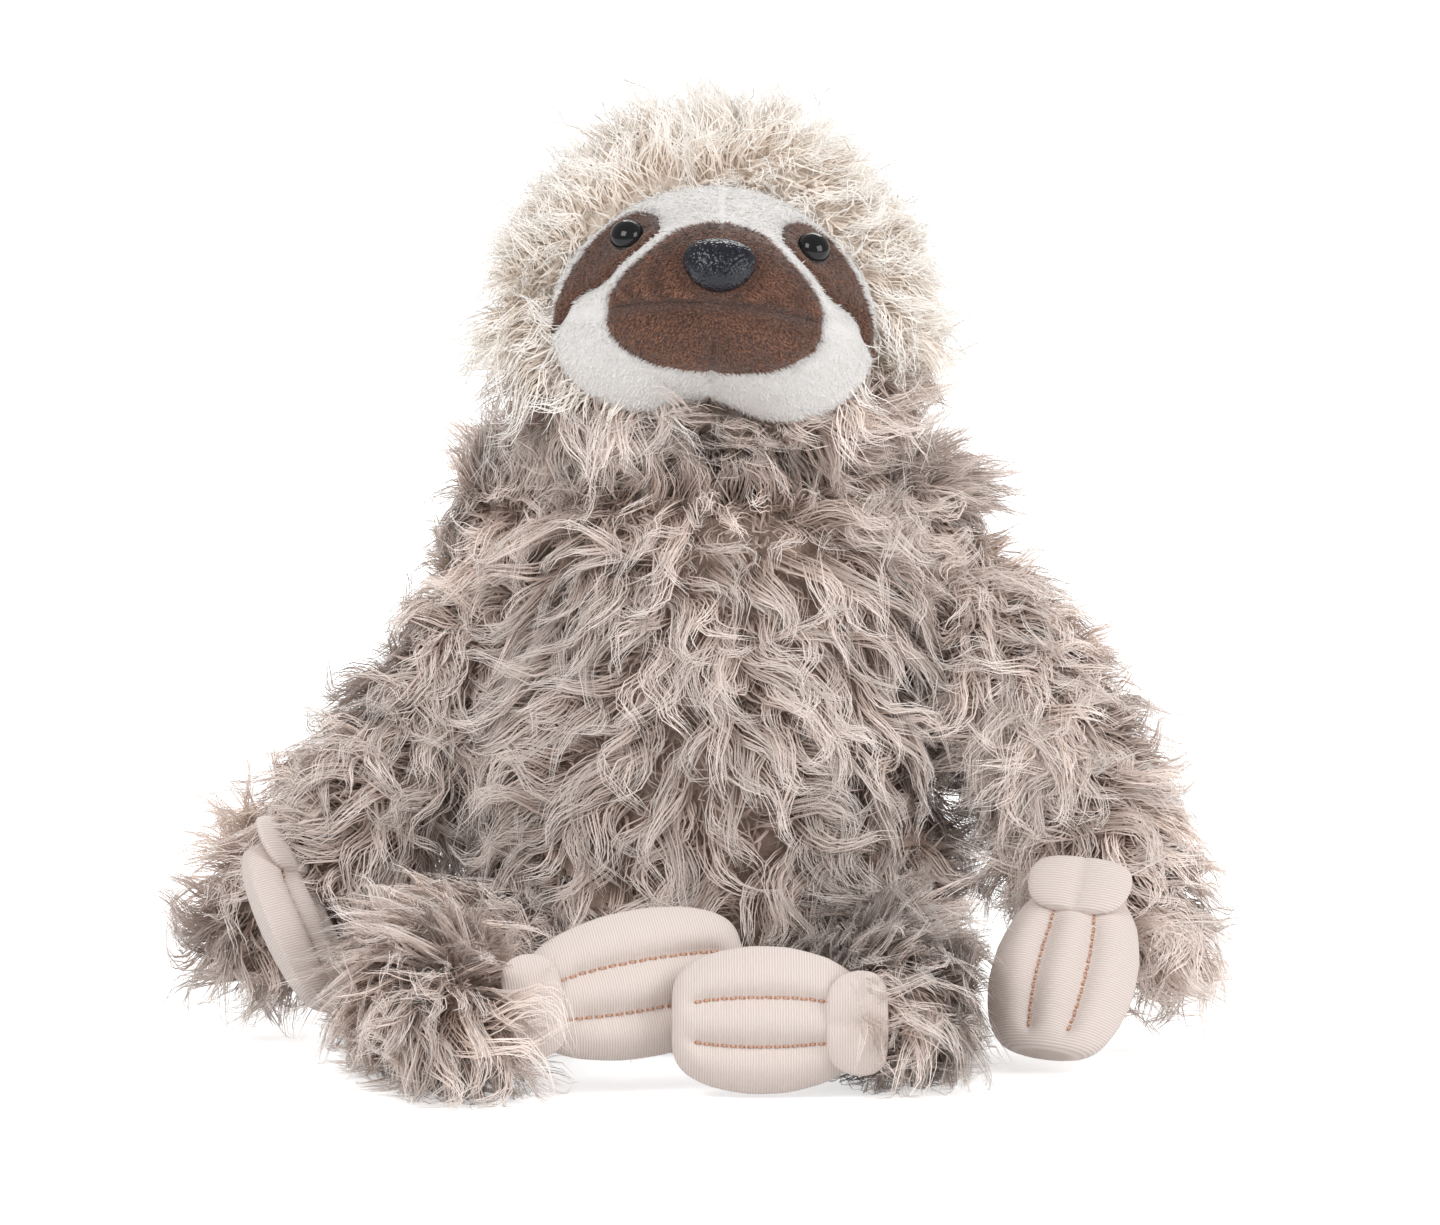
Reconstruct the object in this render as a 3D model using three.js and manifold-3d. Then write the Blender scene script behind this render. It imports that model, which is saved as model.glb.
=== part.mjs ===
// Plush sloth, seated: a stuffed body and head, four floppy limbs and three-clawed knit mitts.
// Millimetres, Z up. The face looks along -Y, so the toy's left side is +X.
// The origin is the centre of the flat seat, on the ground.
// Long fur isn't modelled: the furry pieces reach to the middle of the pile.
import * as THREE from 'three';
import { mergeVertices } from 'three/addons/utils/BufferGeometryUtils.js';
import Module from 'manifold-3d';

const wasm = await Module();
wasm.setup();

// General fits
const seamGap = 0.3; // between two sewn pieces
const jointGap = 0.82; // round a ball, a limb or the head, for its swing
const overrun = 5; // how far a cut reaches past what it cuts
const weldShare = 0.001; // corners closer than this share of the seam gap are one
const poleShare = 1e-9; // a ring this small is a pole
const pileThick = 2; // short-pile panel fabric
const furPile = 13; // backing to the middle of the long pile
const rimPile = 4; // the same where the hood meets the face
const rimFade = 26; // how far behind the rim the pile reaches its full height

// Torso
const torsoWidth = 132;
const torsoDepth = 122;
const bellyForward = 7;
const torsoProfileShares = [
  [0.76, 0], [0.92, 0.06], [1, 0.2], [1, 0.38], [0.95, 0.55], [0.87, 0.7], [0.75, 0.85], [0.5, 1],
];
const seatWidth = 92;
const seatDepth = 84;
const seatPanelThick = 2.5;
const beanBagWidth = 58;
const beanBagHeight = 26;
const beanBagBack = 15;

// Head, in its own frame: centre of the filling, tilted back and a little to the toy's left
const headHeight = 208;
const headForward = 8;
const headTilt = THREE.MathUtils.degToRad(22);
const headRoll = THREE.MathUtils.degToRad(4);
const headWidth = 98;
const headLength = 88;
const headTall = 76;
const cheekRadius = 25;
const cheekOut = 21;
const cheekForward = 14;
const cheekDrop = 14;
const muzzleWidth = 60;
const muzzleLength = 50;
const muzzleTall = 43;
const muzzleForward = 34;
const muzzleDrop = 10;
const hoodRimTop = 42; // how far forward of the centre the fur starts, at the crown
const hoodRimBottom = 22; // and under the chin
const headSink = 6; // how far the torso's top reaches above the filling's underside
const torsoHeight = headHeight - headTall / 2 + headSink;

// Face panels, seen square to the face
const muzzlePanelTop = 8;
const muzzlePanelBottom = 32;
const mouthDrop = 17;
const muzzlePanelWidth = 60;
const muzzleTopShares = [[1, 0], [0.98, 0.12], [0.86, 0.35], [0.66, 0.58], [0.4, 0.86], [0.2, 0.96], [0, 1]];
const muzzleBottomShares = [[1, 0], [0.98, 0.28], [0.85, 0.6], [0.6, 0.86], [0.3, 0.97], [0, 1]];
const creamStrip = 3; // between the muzzle and an eye patch
const eyeSpacing = 50;
const eyeRise = 2.8;
const eyePatchLong = 30;
const eyePatchTall = 31;
const eyePatchShares = [
  [0.24, 0.27], [0.08, 0.33], [-0.15, 0.23], [-0.35, 0.03], [-0.51, -0.22], [-0.62, -0.48], [-0.66, -0.75],
  [-0.56, -0.67], [-0.43, -0.49], [-0.23, -0.41], [-0.08, -0.3], [0.07, -0.2], [0.2, -0.12], [0.27, 0.1],
];

// Safety eyes and nose
const eyeWidth = 9.2;
const eyeDome = 3.8;
const noseWidth = 21.5;
const noseTall = 15.5;
const noseDome = 6.5;
const noseDrop = 7.8;
const noseFlareShare = 0.2;
const noseBluntShare = 0.8;
const postWidth = 3;
const postLength = 11;
const postRib = 0.35;
const postRibs = 3;
const ribRiseShare = 0.3; // of a rib's pitch, where it stands out most
const ribFallShare = 0.8; // and where it ends
const eyeWasherWidth = 11;
const noseWasherWidth = 13;
const washerThick = 1.2;
const eyeWasherBack = 2.6; // behind the skin of the filling, where it curves most
const noseWasherBack = 2.2;
const eyeForwardShare = 0.5; // how far an eye turns from the cheek's slope to straight ahead
const eyeLift = 0.6; // the domes' flat backs stand off the swelling fabric
const noseLift = 0.9;

// Arms: shoulder, two points on the way, and wrist
const shoulderOut = 50;
const shoulderBack = 6;
const shoulderHeight = 141;
const shoulderBall = 25;
const armRadius = 24;
const armTaperShares = [0.96, 0.98, 1, 1, 0.98, 0.92];
const rightElbowOut = 81;
const rightElbowForward = 2;
const rightElbowHeight = 84;
const rightWristOut = 139;
const rightWristForward = 21;
const rightWristHeight = 20;
const rightClawOut = 127;
const rightClawForward = 29;
const rightClawHeight = 55;
const rightTipOut = 107;
const rightTipForward = 48;
const rightTipHeight = 13;
const leftElbowOut = 89;
const leftElbowForward = 14;
const leftElbowHeight = 90;
const leftWristOut = 126;
const leftWristForward = 40;
const leftWristHeight = 17;
const leftClawOut = 103;
const leftClawForward = 60;
const leftClawHeight = 48;
const leftTipOut = 92;
const leftTipForward = 92;
const leftTipHeight = 6;
const armLift = 60; // degrees
const leftPalmShares = [-0.2, -0.93, 0.3]; // the way that the palm looks
const rightPalmShares = [0.9, -0.35, 0.1];

// Legs: hip, knee and ankle
const hipOut = 38;
const hipForward = 28;
const hipHeight = 34;
const hipBall = 23;
const legRadius = 21;
const legTaperShares = [1, 1.03, 1.05, 1.04, 1, 0.95];
const rightKneeOut = 80;
const rightKneeForward = 72;
const rightAnkleOut = 68;
const rightAnkleForward = 156;
const rightHeelOut = 54;
const rightHeelForward = 132;
const rightHeelHeight = 26;
const rightToeIn = 8;
const rightToeForward = 117;
const rightToeHeight = 35;
const leftKneeOut = 50;
const leftKneeForward = 78;
const leftAnkleOut = 51;
const leftAnkleForward = 137;
const leftHeelOut = 42;
const leftHeelForward = 133;
const leftHeelHeight = 22;
const leftToeIn = 12;
const leftToeForward = 134;
const leftToeHeight = 22;
const kneeHeight = 25;
const legLift = 30; // degrees

const limbBluntShare = 0.5; // 1 would be a pointed end, 0 a flat one
const cuffOver = 9; // the fur sleeve's end, past the root of the claws
const cuffBack = 10; // and behind it
const cuffWall = 6; // over the mitt's flat sides

// Mitts: three sewn channels
const mittWidth = 41;
const mittThick = 15;
const mittChannels = 3;
const channelDepthShare = 0.5;
const channelSharpShare = 0.6; // below 1, the channels are round and the rows between them narrow
const mittWidthShares = [0.62, 0.86, 1, 1.02, 0.98, 0.86];
const mittBluntShare = 0.3;
const channelStartShare = 0.2;
const channelEndShare = 0.86;
const mittFlex = 30; // degrees
const padLong = 17;
const padWide = 27;
const padThick = 9;
const padRise = 10; // from the claws' middle to the pad's
const padBack = 5; // how far the pad starts behind the claws' roots

// Facets
const torsoSides = 24;
const torsoRings = 12;
const headSides = 28;
const headRings = 18;
const limbSides = 12;
const limbRings = 10;
const mittSides = 22;
const mittRings = 9;
const smallSides = 16;
const postSides = 8;
const noseSides = 24;
const padSides = 10;
const padRings = 5;
const neckRings = 10;
const domeSteps = 6;
const outlineSteps = 9;
const faceSteps = 12; // of the search for a point on the face
const reliefSteps = 7; // of a moving piece's swing, cut from its neighbour

// Materials
const furGreige = new THREE.MeshStandardMaterial({ color: 0xb5a396, roughness: 0.95, metalness: 0 });
const creamPile = new THREE.MeshStandardMaterial({ color: 0xece5dc, roughness: 0.9, metalness: 0 });
const brownPile = new THREE.MeshStandardMaterial({ color: 0x5d3a2a, roughness: 0.9, metalness: 0 });
const creamKnit = new THREE.MeshStandardMaterial({ color: 0xf0e0d3, roughness: 0.9, metalness: 0 });
const fibreFill = new THREE.MeshStandardMaterial({ color: 0xf6f5f2, roughness: 1, metalness: 0 });
const liningCloth = new THREE.MeshStandardMaterial({ color: 0xd8cfc5, roughness: 0.95, metalness: 0 });
const blackPlastic = new THREE.MeshStandardMaterial({ color: 0x0b0a0a, roughness: 0.08, metalness: 0 });
const grainPlastic = new THREE.MeshStandardMaterial({ color: 0x14161d, roughness: 0.35, metalness: 0 });
const whitePlastic = new THREE.MeshStandardMaterial({ color: 0xe9e9e6, roughness: 0.5, metalness: 0 });

const frontWay = new THREE.Vector3(0, -1, 0);
const upWay = new THREE.Vector3(0, 0, 1);
const acrossWay = new THREE.Vector3(1, 0, 0);
const headLean = new THREE.Euler(-headTilt, headRoll, 0, 'YXZ');

// A closed geometry as a solid for cutting and joining
function solidOf(geometry) {
  const bare = geometry.clone();
  bare.deleteAttribute('normal');
  bare.deleteAttribute('uv');
  const merged = mergeVertices(bare, seamGap * weldShare);
  const vertProperties = new Float32Array(merged.attributes.position.array);
  const triVerts = new Uint32Array(merged.index.array);
  return new wasm.Manifold(new wasm.Mesh({ numProp: 3, vertProperties, triVerts }));
}

function meshOf(name, solid, material) {
  const data = solid.getMesh();
  const geometry = new THREE.BufferGeometry();
  geometry.setAttribute('position', new THREE.BufferAttribute(data.vertProperties, 3));
  geometry.setIndex(new THREE.BufferAttribute(data.triVerts, 1));
  geometry.computeVertexNormals();
  const mesh = new THREE.Mesh(geometry, material);
  mesh.name = name;
  return mesh;
}

// A smooth value read from evenly spaced shares
function shareAt(shares, along) {
  const curve = new THREE.SplineCurve(shares.map((share, index) => new THREE.Vector2(index, share)));
  return curve.getPoint(along).y;
}

// A turn about a line through a point
function turnAbout(pivot, axis, degrees) {
  const matrix = new THREE.Matrix4().makeTranslation(pivot.x, pivot.y, pivot.z);
  matrix.multiply(new THREE.Matrix4().makeRotationAxis(axis, THREE.MathUtils.degToRad(degrees)));
  return matrix.multiply(new THREE.Matrix4().makeTranslation(-pivot.x, -pivot.y, -pivot.z));
}

// Cuts from a solid all that some geometries reach as they turn through the given angles
function relieve(solid, movers, pivot, axis, angles) {
  let left = solid;
  for (const degrees of angles) {
    const turn = turnAbout(pivot, axis, degrees);
    for (const mover of movers) {
      left = left.subtract(solidOf(mover.clone().applyMatrix4(turn)));
    }
  }
  return left;
}

// The largest body of a solid, without the crumbs of a cut
function mainBody(solid) {
  return solid.decompose().reduce((best, body) => (body.volume() > best.volume() ? body : best));
}

function ball(centre, radius) {
  const geometry = new THREE.SphereGeometry(radius, limbSides, limbRings);
  return geometry.translate(centre.x, centre.y, centre.z);
}

// How much larger a faceted round hole has to be for its flats to clear the round in it
function clearOfFlats(sides) {
  return 1 / Math.cos(Math.PI / sides);
}

// A stuffed tube: a unit ball whose poles go to the two ends of a curve.
// half gives the section's half width and half thickness at a share of the length and of the width.
function stuffedTube(curve, side, half, sides, rings, bluntShare) {
  const geometry = new THREE.SphereGeometry(1, sides, rings);
  const position = geometry.attributes.position;
  const place = new THREE.Vector3();
  for (let index = 0; index < position.count; index += 1) {
    place.fromBufferAttribute(position, index);
    const along = THREE.MathUtils.clamp((1 - place.y) / 2, 0, 1);
    const ring = Math.hypot(place.x, place.z);
    const swell = ring < poleShare ? 0 : ring ** bluntShare;
    const across = swell > 0 ? place.x / ring : 0;
    const over = swell > 0 ? place.z / ring : 0;
    const tangent = curve.getTangentAt(along);
    const sideways = side.clone().addScaledVector(tangent, -side.dot(tangent)).normalize();
    const above = new THREE.Vector3().crossVectors(tangent, sideways);
    const size = half(along, across);
    const point = curve.getPointAt(along);
    point.addScaledVector(sideways, across * size.wide * swell);
    point.addScaledVector(above, over * size.thick * swell);
    position.setXYZ(index, point.x, point.y, point.z);
  }
  return geometry;
}

// Torso: a pear turned on a lathe, flattened front to back, the belly pushed forward
function torsoForm(grow) {
  const outline = torsoProfileShares.map(([radiusShare, heightShare]) => new THREE.Vector2(
    radiusShare * torsoWidth / 2 + grow, heightShare * (torsoHeight + 2 * grow) - grow));
  const spline = new THREE.SplineCurve(outline).getPoints(torsoRings);
  const floor = new THREE.Vector2(0, outline[0].y);
  const top = new THREE.Vector2(0, outline[outline.length - 1].y);
  const geometry = new THREE.LatheGeometry([floor, ...spline, top], torsoSides).rotateX(Math.PI / 2);
  const position = geometry.attributes.position;
  for (let index = 0; index < position.count; index += 1) {
    const heightShare = THREE.MathUtils.clamp(position.getZ(index) / torsoHeight, 0, 1);
    const belly = bellyForward * Math.sin(Math.PI * heightShare);
    position.setY(index, position.getY(index) * torsoDepth / torsoWidth - belly);
  }
  return geometry;
}

function seatForm(grow, from, to) {
  const radius = seatWidth / 2 + grow;
  const geometry = new THREE.CylinderGeometry(radius, radius, to - from, torsoSides);
  geometry.rotateX(Math.PI / 2).translate(0, 0, (from + to) / 2);
  return geometry.scale(1, seatDepth / seatWidth, 1);
}

// Bean bag: a low pouch that lies flat on the seat panel
function beanBag(grow) {
  const floor = seatPanelThick + 2 * seamGap;
  const geometry = new THREE.SphereGeometry(1, smallSides, limbRings).rotateX(Math.PI / 2);
  geometry.scale(beanBagWidth / 2 + grow, beanBagWidth / 2 + grow, beanBagHeight / 2 + grow);
  geometry.translate(0, beanBagBack, floor + beanBagHeight / 3);
  const under = seatForm(overrun, -torsoHeight, grow > 0 ? 0 : floor);
  return solidOf(geometry).subtract(solidOf(under));
}

// Neck: the round hollow that clears all that the turning head reaches
function neckHollow() {
  const position = headEnvelope().attributes.position;
  const place = new THREE.Vector3();
  const reaches = [];
  for (let index = 0; index < position.count; index += 1) {
    place.fromBufferAttribute(position, index);
    reaches.push({ height: place.z, radius: Math.hypot(place.x, place.y + headForward) });
  }
  const lowest = Math.min(...reaches.map((reach) => reach.height));
  const profile = [new THREE.Vector2(0, lowest)];
  const step = (torsoHeight + overrun - lowest) / neckRings;
  for (let ring = 0; ring <= neckRings; ring += 1) {
    const height = lowest + ring * step;
    const below = reaches.filter((reach) => reach.height < height + step);
    const radius = Math.max(...below.map((reach) => reach.radius)) * clearOfFlats(torsoSides);
    profile.push(new THREE.Vector2(radius, height));
  }
  profile.push(new THREE.Vector2(0, profile[profile.length - 1].y));
  return new THREE.LatheGeometry(profile, torsoSides).rotateX(Math.PI / 2).translate(0, -headForward, 0);
}

// Head: how far the smooth sum of filling, cheeks and muzzle reaches along a direction
function reachOf(direction, centre, radii) {
  const way = direction.clone().divide(radii);
  const from = centre.clone().divide(radii);
  const a = way.dot(way);
  const b = way.dot(from);
  const c = from.dot(from) - 1;
  const inside = b * b - a * c;
  return inside > 0 ? Math.max((b + Math.sqrt(inside)) / a, 0) : 0;
}

const skullRadii = new THREE.Vector3(headWidth / 2, headLength / 2, headTall / 2);
const cheekRadii = new THREE.Vector3(cheekRadius, cheekRadius, cheekRadius);
const muzzleRadii = new THREE.Vector3(muzzleWidth / 2, muzzleLength / 2, muzzleTall / 2);
const blendPower = 9;

function headReach(direction, withFace) {
  const lobes = [reachOf(direction, new THREE.Vector3(), skullRadii)];
  for (const side of [-1, 1]) {
    const cheek = new THREE.Vector3(side * cheekOut, -cheekForward, -cheekDrop);
    lobes.push(reachOf(direction, cheek, cheekRadii));
  }
  if (withFace) {
    lobes.push(reachOf(direction, new THREE.Vector3(0, -muzzleForward, -muzzleDrop), muzzleRadii));
  }
  return lobes.reduce((sum, lobe) => sum + lobe ** blendPower, 0) ** (1 / blendPower);
}

// How far a place on the head lies behind the slanted rim of the hood
const rimSlope = Math.atan2(hoodRimTop - hoodRimBottom, headTall);
const rimMiddle = (hoodRimTop + hoodRimBottom) / 2;

function behindRim(place) {
  return (place.y + rimMiddle) * Math.cos(rimSlope) + place.z * Math.sin(rimSlope);
}

function hoodPile(place) {
  return rimPile + (furPile - rimPile) * THREE.MathUtils.smoothstep(behindRim(place), 0, rimFade);
}

// The hood's outside: the filling's form with the pile on it, thin at the rim
function hoodForm(grow) {
  const geometry = headForm(0, false);
  const position = geometry.attributes.position;
  const place = new THREE.Vector3();
  for (let index = 0; index < position.count; index += 1) {
    place.fromBufferAttribute(position, index);
    place.setLength(place.length() + hoodPile(place) + grow);
    position.setXYZ(index, place.x, place.y, place.z);
  }
  return geometry;
}

function headForm(grow, withFace = true) {
  const geometry = new THREE.SphereGeometry(1, headSides, headRings).rotateX(Math.PI / 2);
  const position = geometry.attributes.position;
  const direction = new THREE.Vector3();
  for (let index = 0; index < position.count; index += 1) {
    direction.fromBufferAttribute(position, index).normalize();
    const point = direction.clone().multiplyScalar(headReach(direction, withFace) + grow);
    position.setXYZ(index, point.x, point.y, point.z);
  }
  return geometry;
}

// A point on the head at a place seen square to the face, and the way that the face looks there
function facePoint(across, rise) {
  const place = new THREE.Vector3(across, -headLength / 2, rise);
  for (let step = 0; step < faceSteps; step += 1) {
    const reach = headReach(place.clone().normalize(), true);
    const short = reach ** 2 - across ** 2 - rise ** 2;
    place.y = -Math.sqrt(short);
  }
  return place;
}

function faceWay(across, rise, forwardShare) {
  const nudge = eyeWidth / 4;
  const right = facePoint(across + nudge, rise).sub(facePoint(across - nudge, rise));
  const top = facePoint(across, rise + nudge).sub(facePoint(across, rise - nudge));
  return new THREE.Vector3().crossVectors(right, top).normalize().lerp(frontWay, forwardShare).normalize();
}

// A prism from a face outline, running forward from the head's centre
function facePrism(points) {
  const shape = new THREE.Shape(points);
  const depth = headLength + muzzleLength;
  return new THREE.ExtrudeGeometry(shape, { depth, bevelEnabled: false, steps: 1 }).rotateX(Math.PI / 2);
}

function smoothLoop(points, count) {
  const corners = points.map((point) => new THREE.Vector3(point.x, point.y, 0));
  const loop = new THREE.CatmullRomCurve3(corners, true);
  return loop.getPoints(count).slice(0, -1).map((point) => new THREE.Vector2(point.x, point.y));
}

// The half-space in front of the slanted line where the hood's fur ends
function faceSpace(shift) {
  const size = headWidth * 2;
  const geometry = new THREE.BoxGeometry(size, size, size).translate(0, -size / 2, 0);
  return geometry.rotateX(rimSlope).translate(0, -rimMiddle - shift, 0);
}

function muzzleOutline(heightShares, height, inset) {
  const half = muzzlePanelWidth / 2 - inset;
  const right = heightShares.map(([acrossShare, riseShare]) => new THREE.Vector2(
    acrossShare * half, riseShare * height));
  const arc = new THREE.SplineCurve(right).getPoints(outlineSteps);
  const mirrored = arc.slice(0, -1).reverse().map((point) => new THREE.Vector2(-point.x, point.y));
  return [...arc, ...mirrored];
}

function muzzleUpperOutline(inset) {
  const height = muzzlePanelTop + mouthDrop - inset;
  return muzzleOutline(muzzleTopShares, height, inset)
    .map((point) => new THREE.Vector2(point.x, point.y - mouthDrop + seamGap / 2));
}

function muzzleLowerOutline(inset) {
  const height = muzzlePanelBottom - mouthDrop - inset;
  return muzzleOutline(muzzleBottomShares, height, inset)
    .map((point) => new THREE.Vector2(point.x, -point.y - mouthDrop - seamGap / 2)).reverse();
}

function muzzleWholeOutline(grow) {
  const upper = muzzleOutline(muzzleTopShares, muzzlePanelTop + mouthDrop + grow, -grow);
  const lower = muzzleOutline(muzzleBottomShares, muzzlePanelBottom - mouthDrop + grow, -grow);
  const bottom = lower.slice(1, -1).map((point) => new THREE.Vector2(point.x, -point.y)).reverse();
  return [...upper, ...bottom].map((point) => new THREE.Vector2(point.x, point.y - mouthDrop));
}

function eyePatchOutline(side, inset) {
  const points = eyePatchShares.map(([acrossShare, riseShare]) => new THREE.Vector2(
    side * (eyeSpacing / 2 - acrossShare * eyePatchLong), eyeRise + riseShare * eyePatchTall));
  const loop = smoothLoop(side < 0 ? points : points.reverse(), 2 * smallSides);
  return loop.map((place, index) => {
    const before = loop.at(index - 1);
    const after = loop[(index + 1) % loop.length];
    const inward = new THREE.Vector2(before.y - after.y, after.x - before.x).normalize();
    return place.clone().addScaledVector(inward, inset);
  });
}

// The post of a safety eye or nose, its ribs and its lock washer, turned on a lathe, pointing along +Y
function postForm() {
  const radius = postWidth / 2;
  const pitch = postLength / (postRibs + 2);
  const points = [new THREE.Vector2(0, -seamGap), new THREE.Vector2(radius, -seamGap)];
  for (let rib = 1; rib <= postRibs; rib += 1) {
    points.push(new THREE.Vector2(radius, rib * pitch));
    points.push(new THREE.Vector2(radius + postRib, (rib + ribRiseShare) * pitch));
    points.push(new THREE.Vector2(radius, (rib + ribFallShare) * pitch));
  }
  points.push(new THREE.Vector2(radius, postLength - radius / 2));
  points.push(new THREE.Vector2(radius / 2, postLength));
  points.push(new THREE.Vector2(0, postLength));
  return new THREE.LatheGeometry(points, postSides);
}

function washerForm(width) {
  const hole = postWidth / 2 + postRib + seamGap;
  const rim = width / 2;
  const points = [
    new THREE.Vector2(hole, 0), new THREE.Vector2(rim - washerThick / 2, 0),
    new THREE.Vector2(rim, washerThick / 2), new THREE.Vector2(rim, washerThick),
    new THREE.Vector2(hole, washerThick), new THREE.Vector2(hole, 0),
  ];
  return new THREE.LatheGeometry(points, smallSides);
}

function boreForm(radius, from, to) {
  return new THREE.CylinderGeometry(radius, radius, to - from, smallSides).translate(0, (from + to) / 2, 0);
}

function eyeForm() {
  const radius = eyeWidth / 2;
  const points = [new THREE.Vector2(0, -eyeDome)];
  for (let step = 1; step <= domeSteps; step += 1) {
    const angle = step / domeSteps * Math.PI / 2;
    points.push(new THREE.Vector2(radius * Math.sin(angle), -eyeDome * Math.cos(angle)));
  }
  points.push(new THREE.Vector2(0, 0));
  return solidOf(new THREE.LatheGeometry(points, smallSides)).add(solidOf(postForm()));
}

// Nose: a domed pad, wider along its top, with a flat back
function noseForm() {
  const geometry = new THREE.SphereGeometry(1, noseSides, smallSides).rotateX(Math.PI / 2);
  const position = geometry.attributes.position;
  for (let index = 0; index < position.count; index += 1) {
    const flare = 1 + noseFlareShare * position.getZ(index);
    const depth = position.getY(index);
    position.setXYZ(
      index,
      position.getX(index) * noseWidth / 2 * flare,
      Math.sign(depth) * Math.abs(depth) ** noseBluntShare * noseDome,
      position.getZ(index) * noseTall / 2,
    );
  }
  const half = new THREE.BoxGeometry(2 * noseWidth, 2 * noseWidth, 2 * noseWidth).translate(0, noseWidth, 0);
  return solidOf(geometry).subtract(solidOf(half)).add(solidOf(postForm()));
}

// Moves what is made along +Y to its place on the face, its front looking out
function seatOnFace(post, proud) {
  const way = faceWay(post.across, post.rise, post.forwardShare);
  const turn = new THREE.Quaternion().setFromUnitVectors(frontWay, way);
  const place = facePoint(post.across, post.rise).addScaledVector(way, proud);
  return new THREE.Matrix4().compose(place, turn, new THREE.Vector3(1, 1, 1));
}

function movedSolid(solid, matrix) {
  return solidOf(meshOf('moved', solid, fibreFill).geometry.applyMatrix4(matrix));
}

// Each post on the face: where it is, the front piece, its washer's width
const eyePost = {
  rise: eyeRise, lift: eyeLift, width: eyeWidth, forwardShare: eyeForwardShare,
  washer: eyeWasherWidth, back: eyeWasherBack, form: eyeForm, look: blackPlastic,
};
const nosePost = {
  rise: -noseDrop, lift: noseLift, width: postWidth, forwardShare: 0,
  washer: noseWasherWidth, back: noseWasherBack, form: noseForm, look: grainPlastic,
};
const posts = [
  { name: 'left_eye', across: eyeSpacing / 2, ...eyePost },
  { name: 'right_eye', across: -eyeSpacing / 2, ...eyePost },
  { name: 'nose', across: 0, ...nosePost },
];

// What a post takes out of the fabric, and out of the filling behind it
function postBore(post) {
  const bore = boreForm(postWidth / 2 + postRib + seamGap, -overrun, postLength + overrun);
  return solidOf(bore.applyMatrix4(seatOnFace(post, 0)));
}

// The dimple that a tilted dome presses into the pile
function domeDimple(post) {
  const dimple = boreForm(post.width / 2 + seamGap, -overrun, seamGap);
  return solidOf(dimple.applyMatrix4(seatOnFace(post, seamGap + pileThick + post.lift)));
}

function washerPocket(post) {
  const seat = seatOnFace(post, 0);
  const pocket = boreForm(post.washer / 2 + seamGap, -overrun, post.back + washerThick + seamGap);
  return solidOf(pocket.applyMatrix4(seat));
}

function makeHead() {
  const head = new THREE.Group();
  head.position.set(0, -headForward, headHeight);
  head.rotation.copy(headLean);

  let filling = solidOf(headForm(0));
  const skin = solidOf(headForm(seamGap + pileThick)).subtract(solidOf(headForm(seamGap)));
  const front = solidOf(faceSpace(0));
  let facePanel = skin.intersect(front);
  const fur = solidOf(hoodForm(seamGap)).subtract(solidOf(headForm(seamGap)));
  const hood = fur.subtract(solidOf(faceSpace(-seamGap)));

  const muzzleHole = solidOf(facePrism(muzzleWholeOutline(0)));
  const muzzleMargin = solidOf(facePrism(muzzleWholeOutline(creamStrip)));
  let muzzleUpper = skin.intersect(solidOf(facePrism(muzzleUpperOutline(seamGap))));
  const muzzleLower = skin.intersect(solidOf(facePrism(muzzleLowerOutline(seamGap))));
  facePanel = facePanel.subtract(muzzleHole);
  const patches = {};
  for (const [name, side] of [['left_eye_patch', 1], ['right_eye_patch', -1]]) {
    const patch = skin.intersect(front).intersect(solidOf(facePrism(eyePatchOutline(side, seamGap))));
    patches[name] = mainBody(patch.subtract(muzzleMargin));
    const hole = solidOf(facePrism(eyePatchOutline(side, 0))).subtract(muzzleMargin);
    facePanel = facePanel.subtract(hole);
  }
  for (const post of posts) {
    const bore = postBore(post).add(domeDimple(post));
    filling = filling.subtract(bore).subtract(washerPocket(post));
    facePanel = facePanel.subtract(bore);
    muzzleUpper = muzzleUpper.subtract(bore);
    for (const name of Object.keys(patches)) {
      patches[name] = patches[name].subtract(bore);
    }
    const proud = seamGap + pileThick + post.lift;
    const seat = seatOnFace(post, proud);
    head.add(meshOf(post.name, movedSolid(post.form(), seat), post.look));
    const washer = washerForm(post.washer).translate(0, proud + post.back, 0).applyMatrix4(seat);
    head.add(meshOf(`${post.name}_washer`, solidOf(washer), whitePlastic));
  }
  head.add(meshOf('head_stuffing', filling, fibreFill));
  head.add(meshOf('fur_hood', hood, furGreige));
  head.add(meshOf('face_panel', facePanel, creamPile));
  head.add(meshOf('muzzle_upper', muzzleUpper, brownPile));
  head.add(meshOf('muzzle_lower', muzzleLower, brownPile));
  for (const [name, patch] of Object.entries(patches)) {
    head.add(meshOf(name, patch, brownPile));
  }
  return head;
}

// The head as one outer form, in the toy's frame, for the neck's hollow
function headEnvelope() {
  const matrix = new THREE.Matrix4().makeRotationFromEuler(headLean);
  matrix.setPosition(0, -headForward, headHeight);
  return hoodForm(jointGap).applyMatrix4(matrix);
}

// Limbs: each side's points, from the body outward
function point(side, out, forward, height) {
  return new THREE.Vector3(side * out, -forward, height);
}

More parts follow.
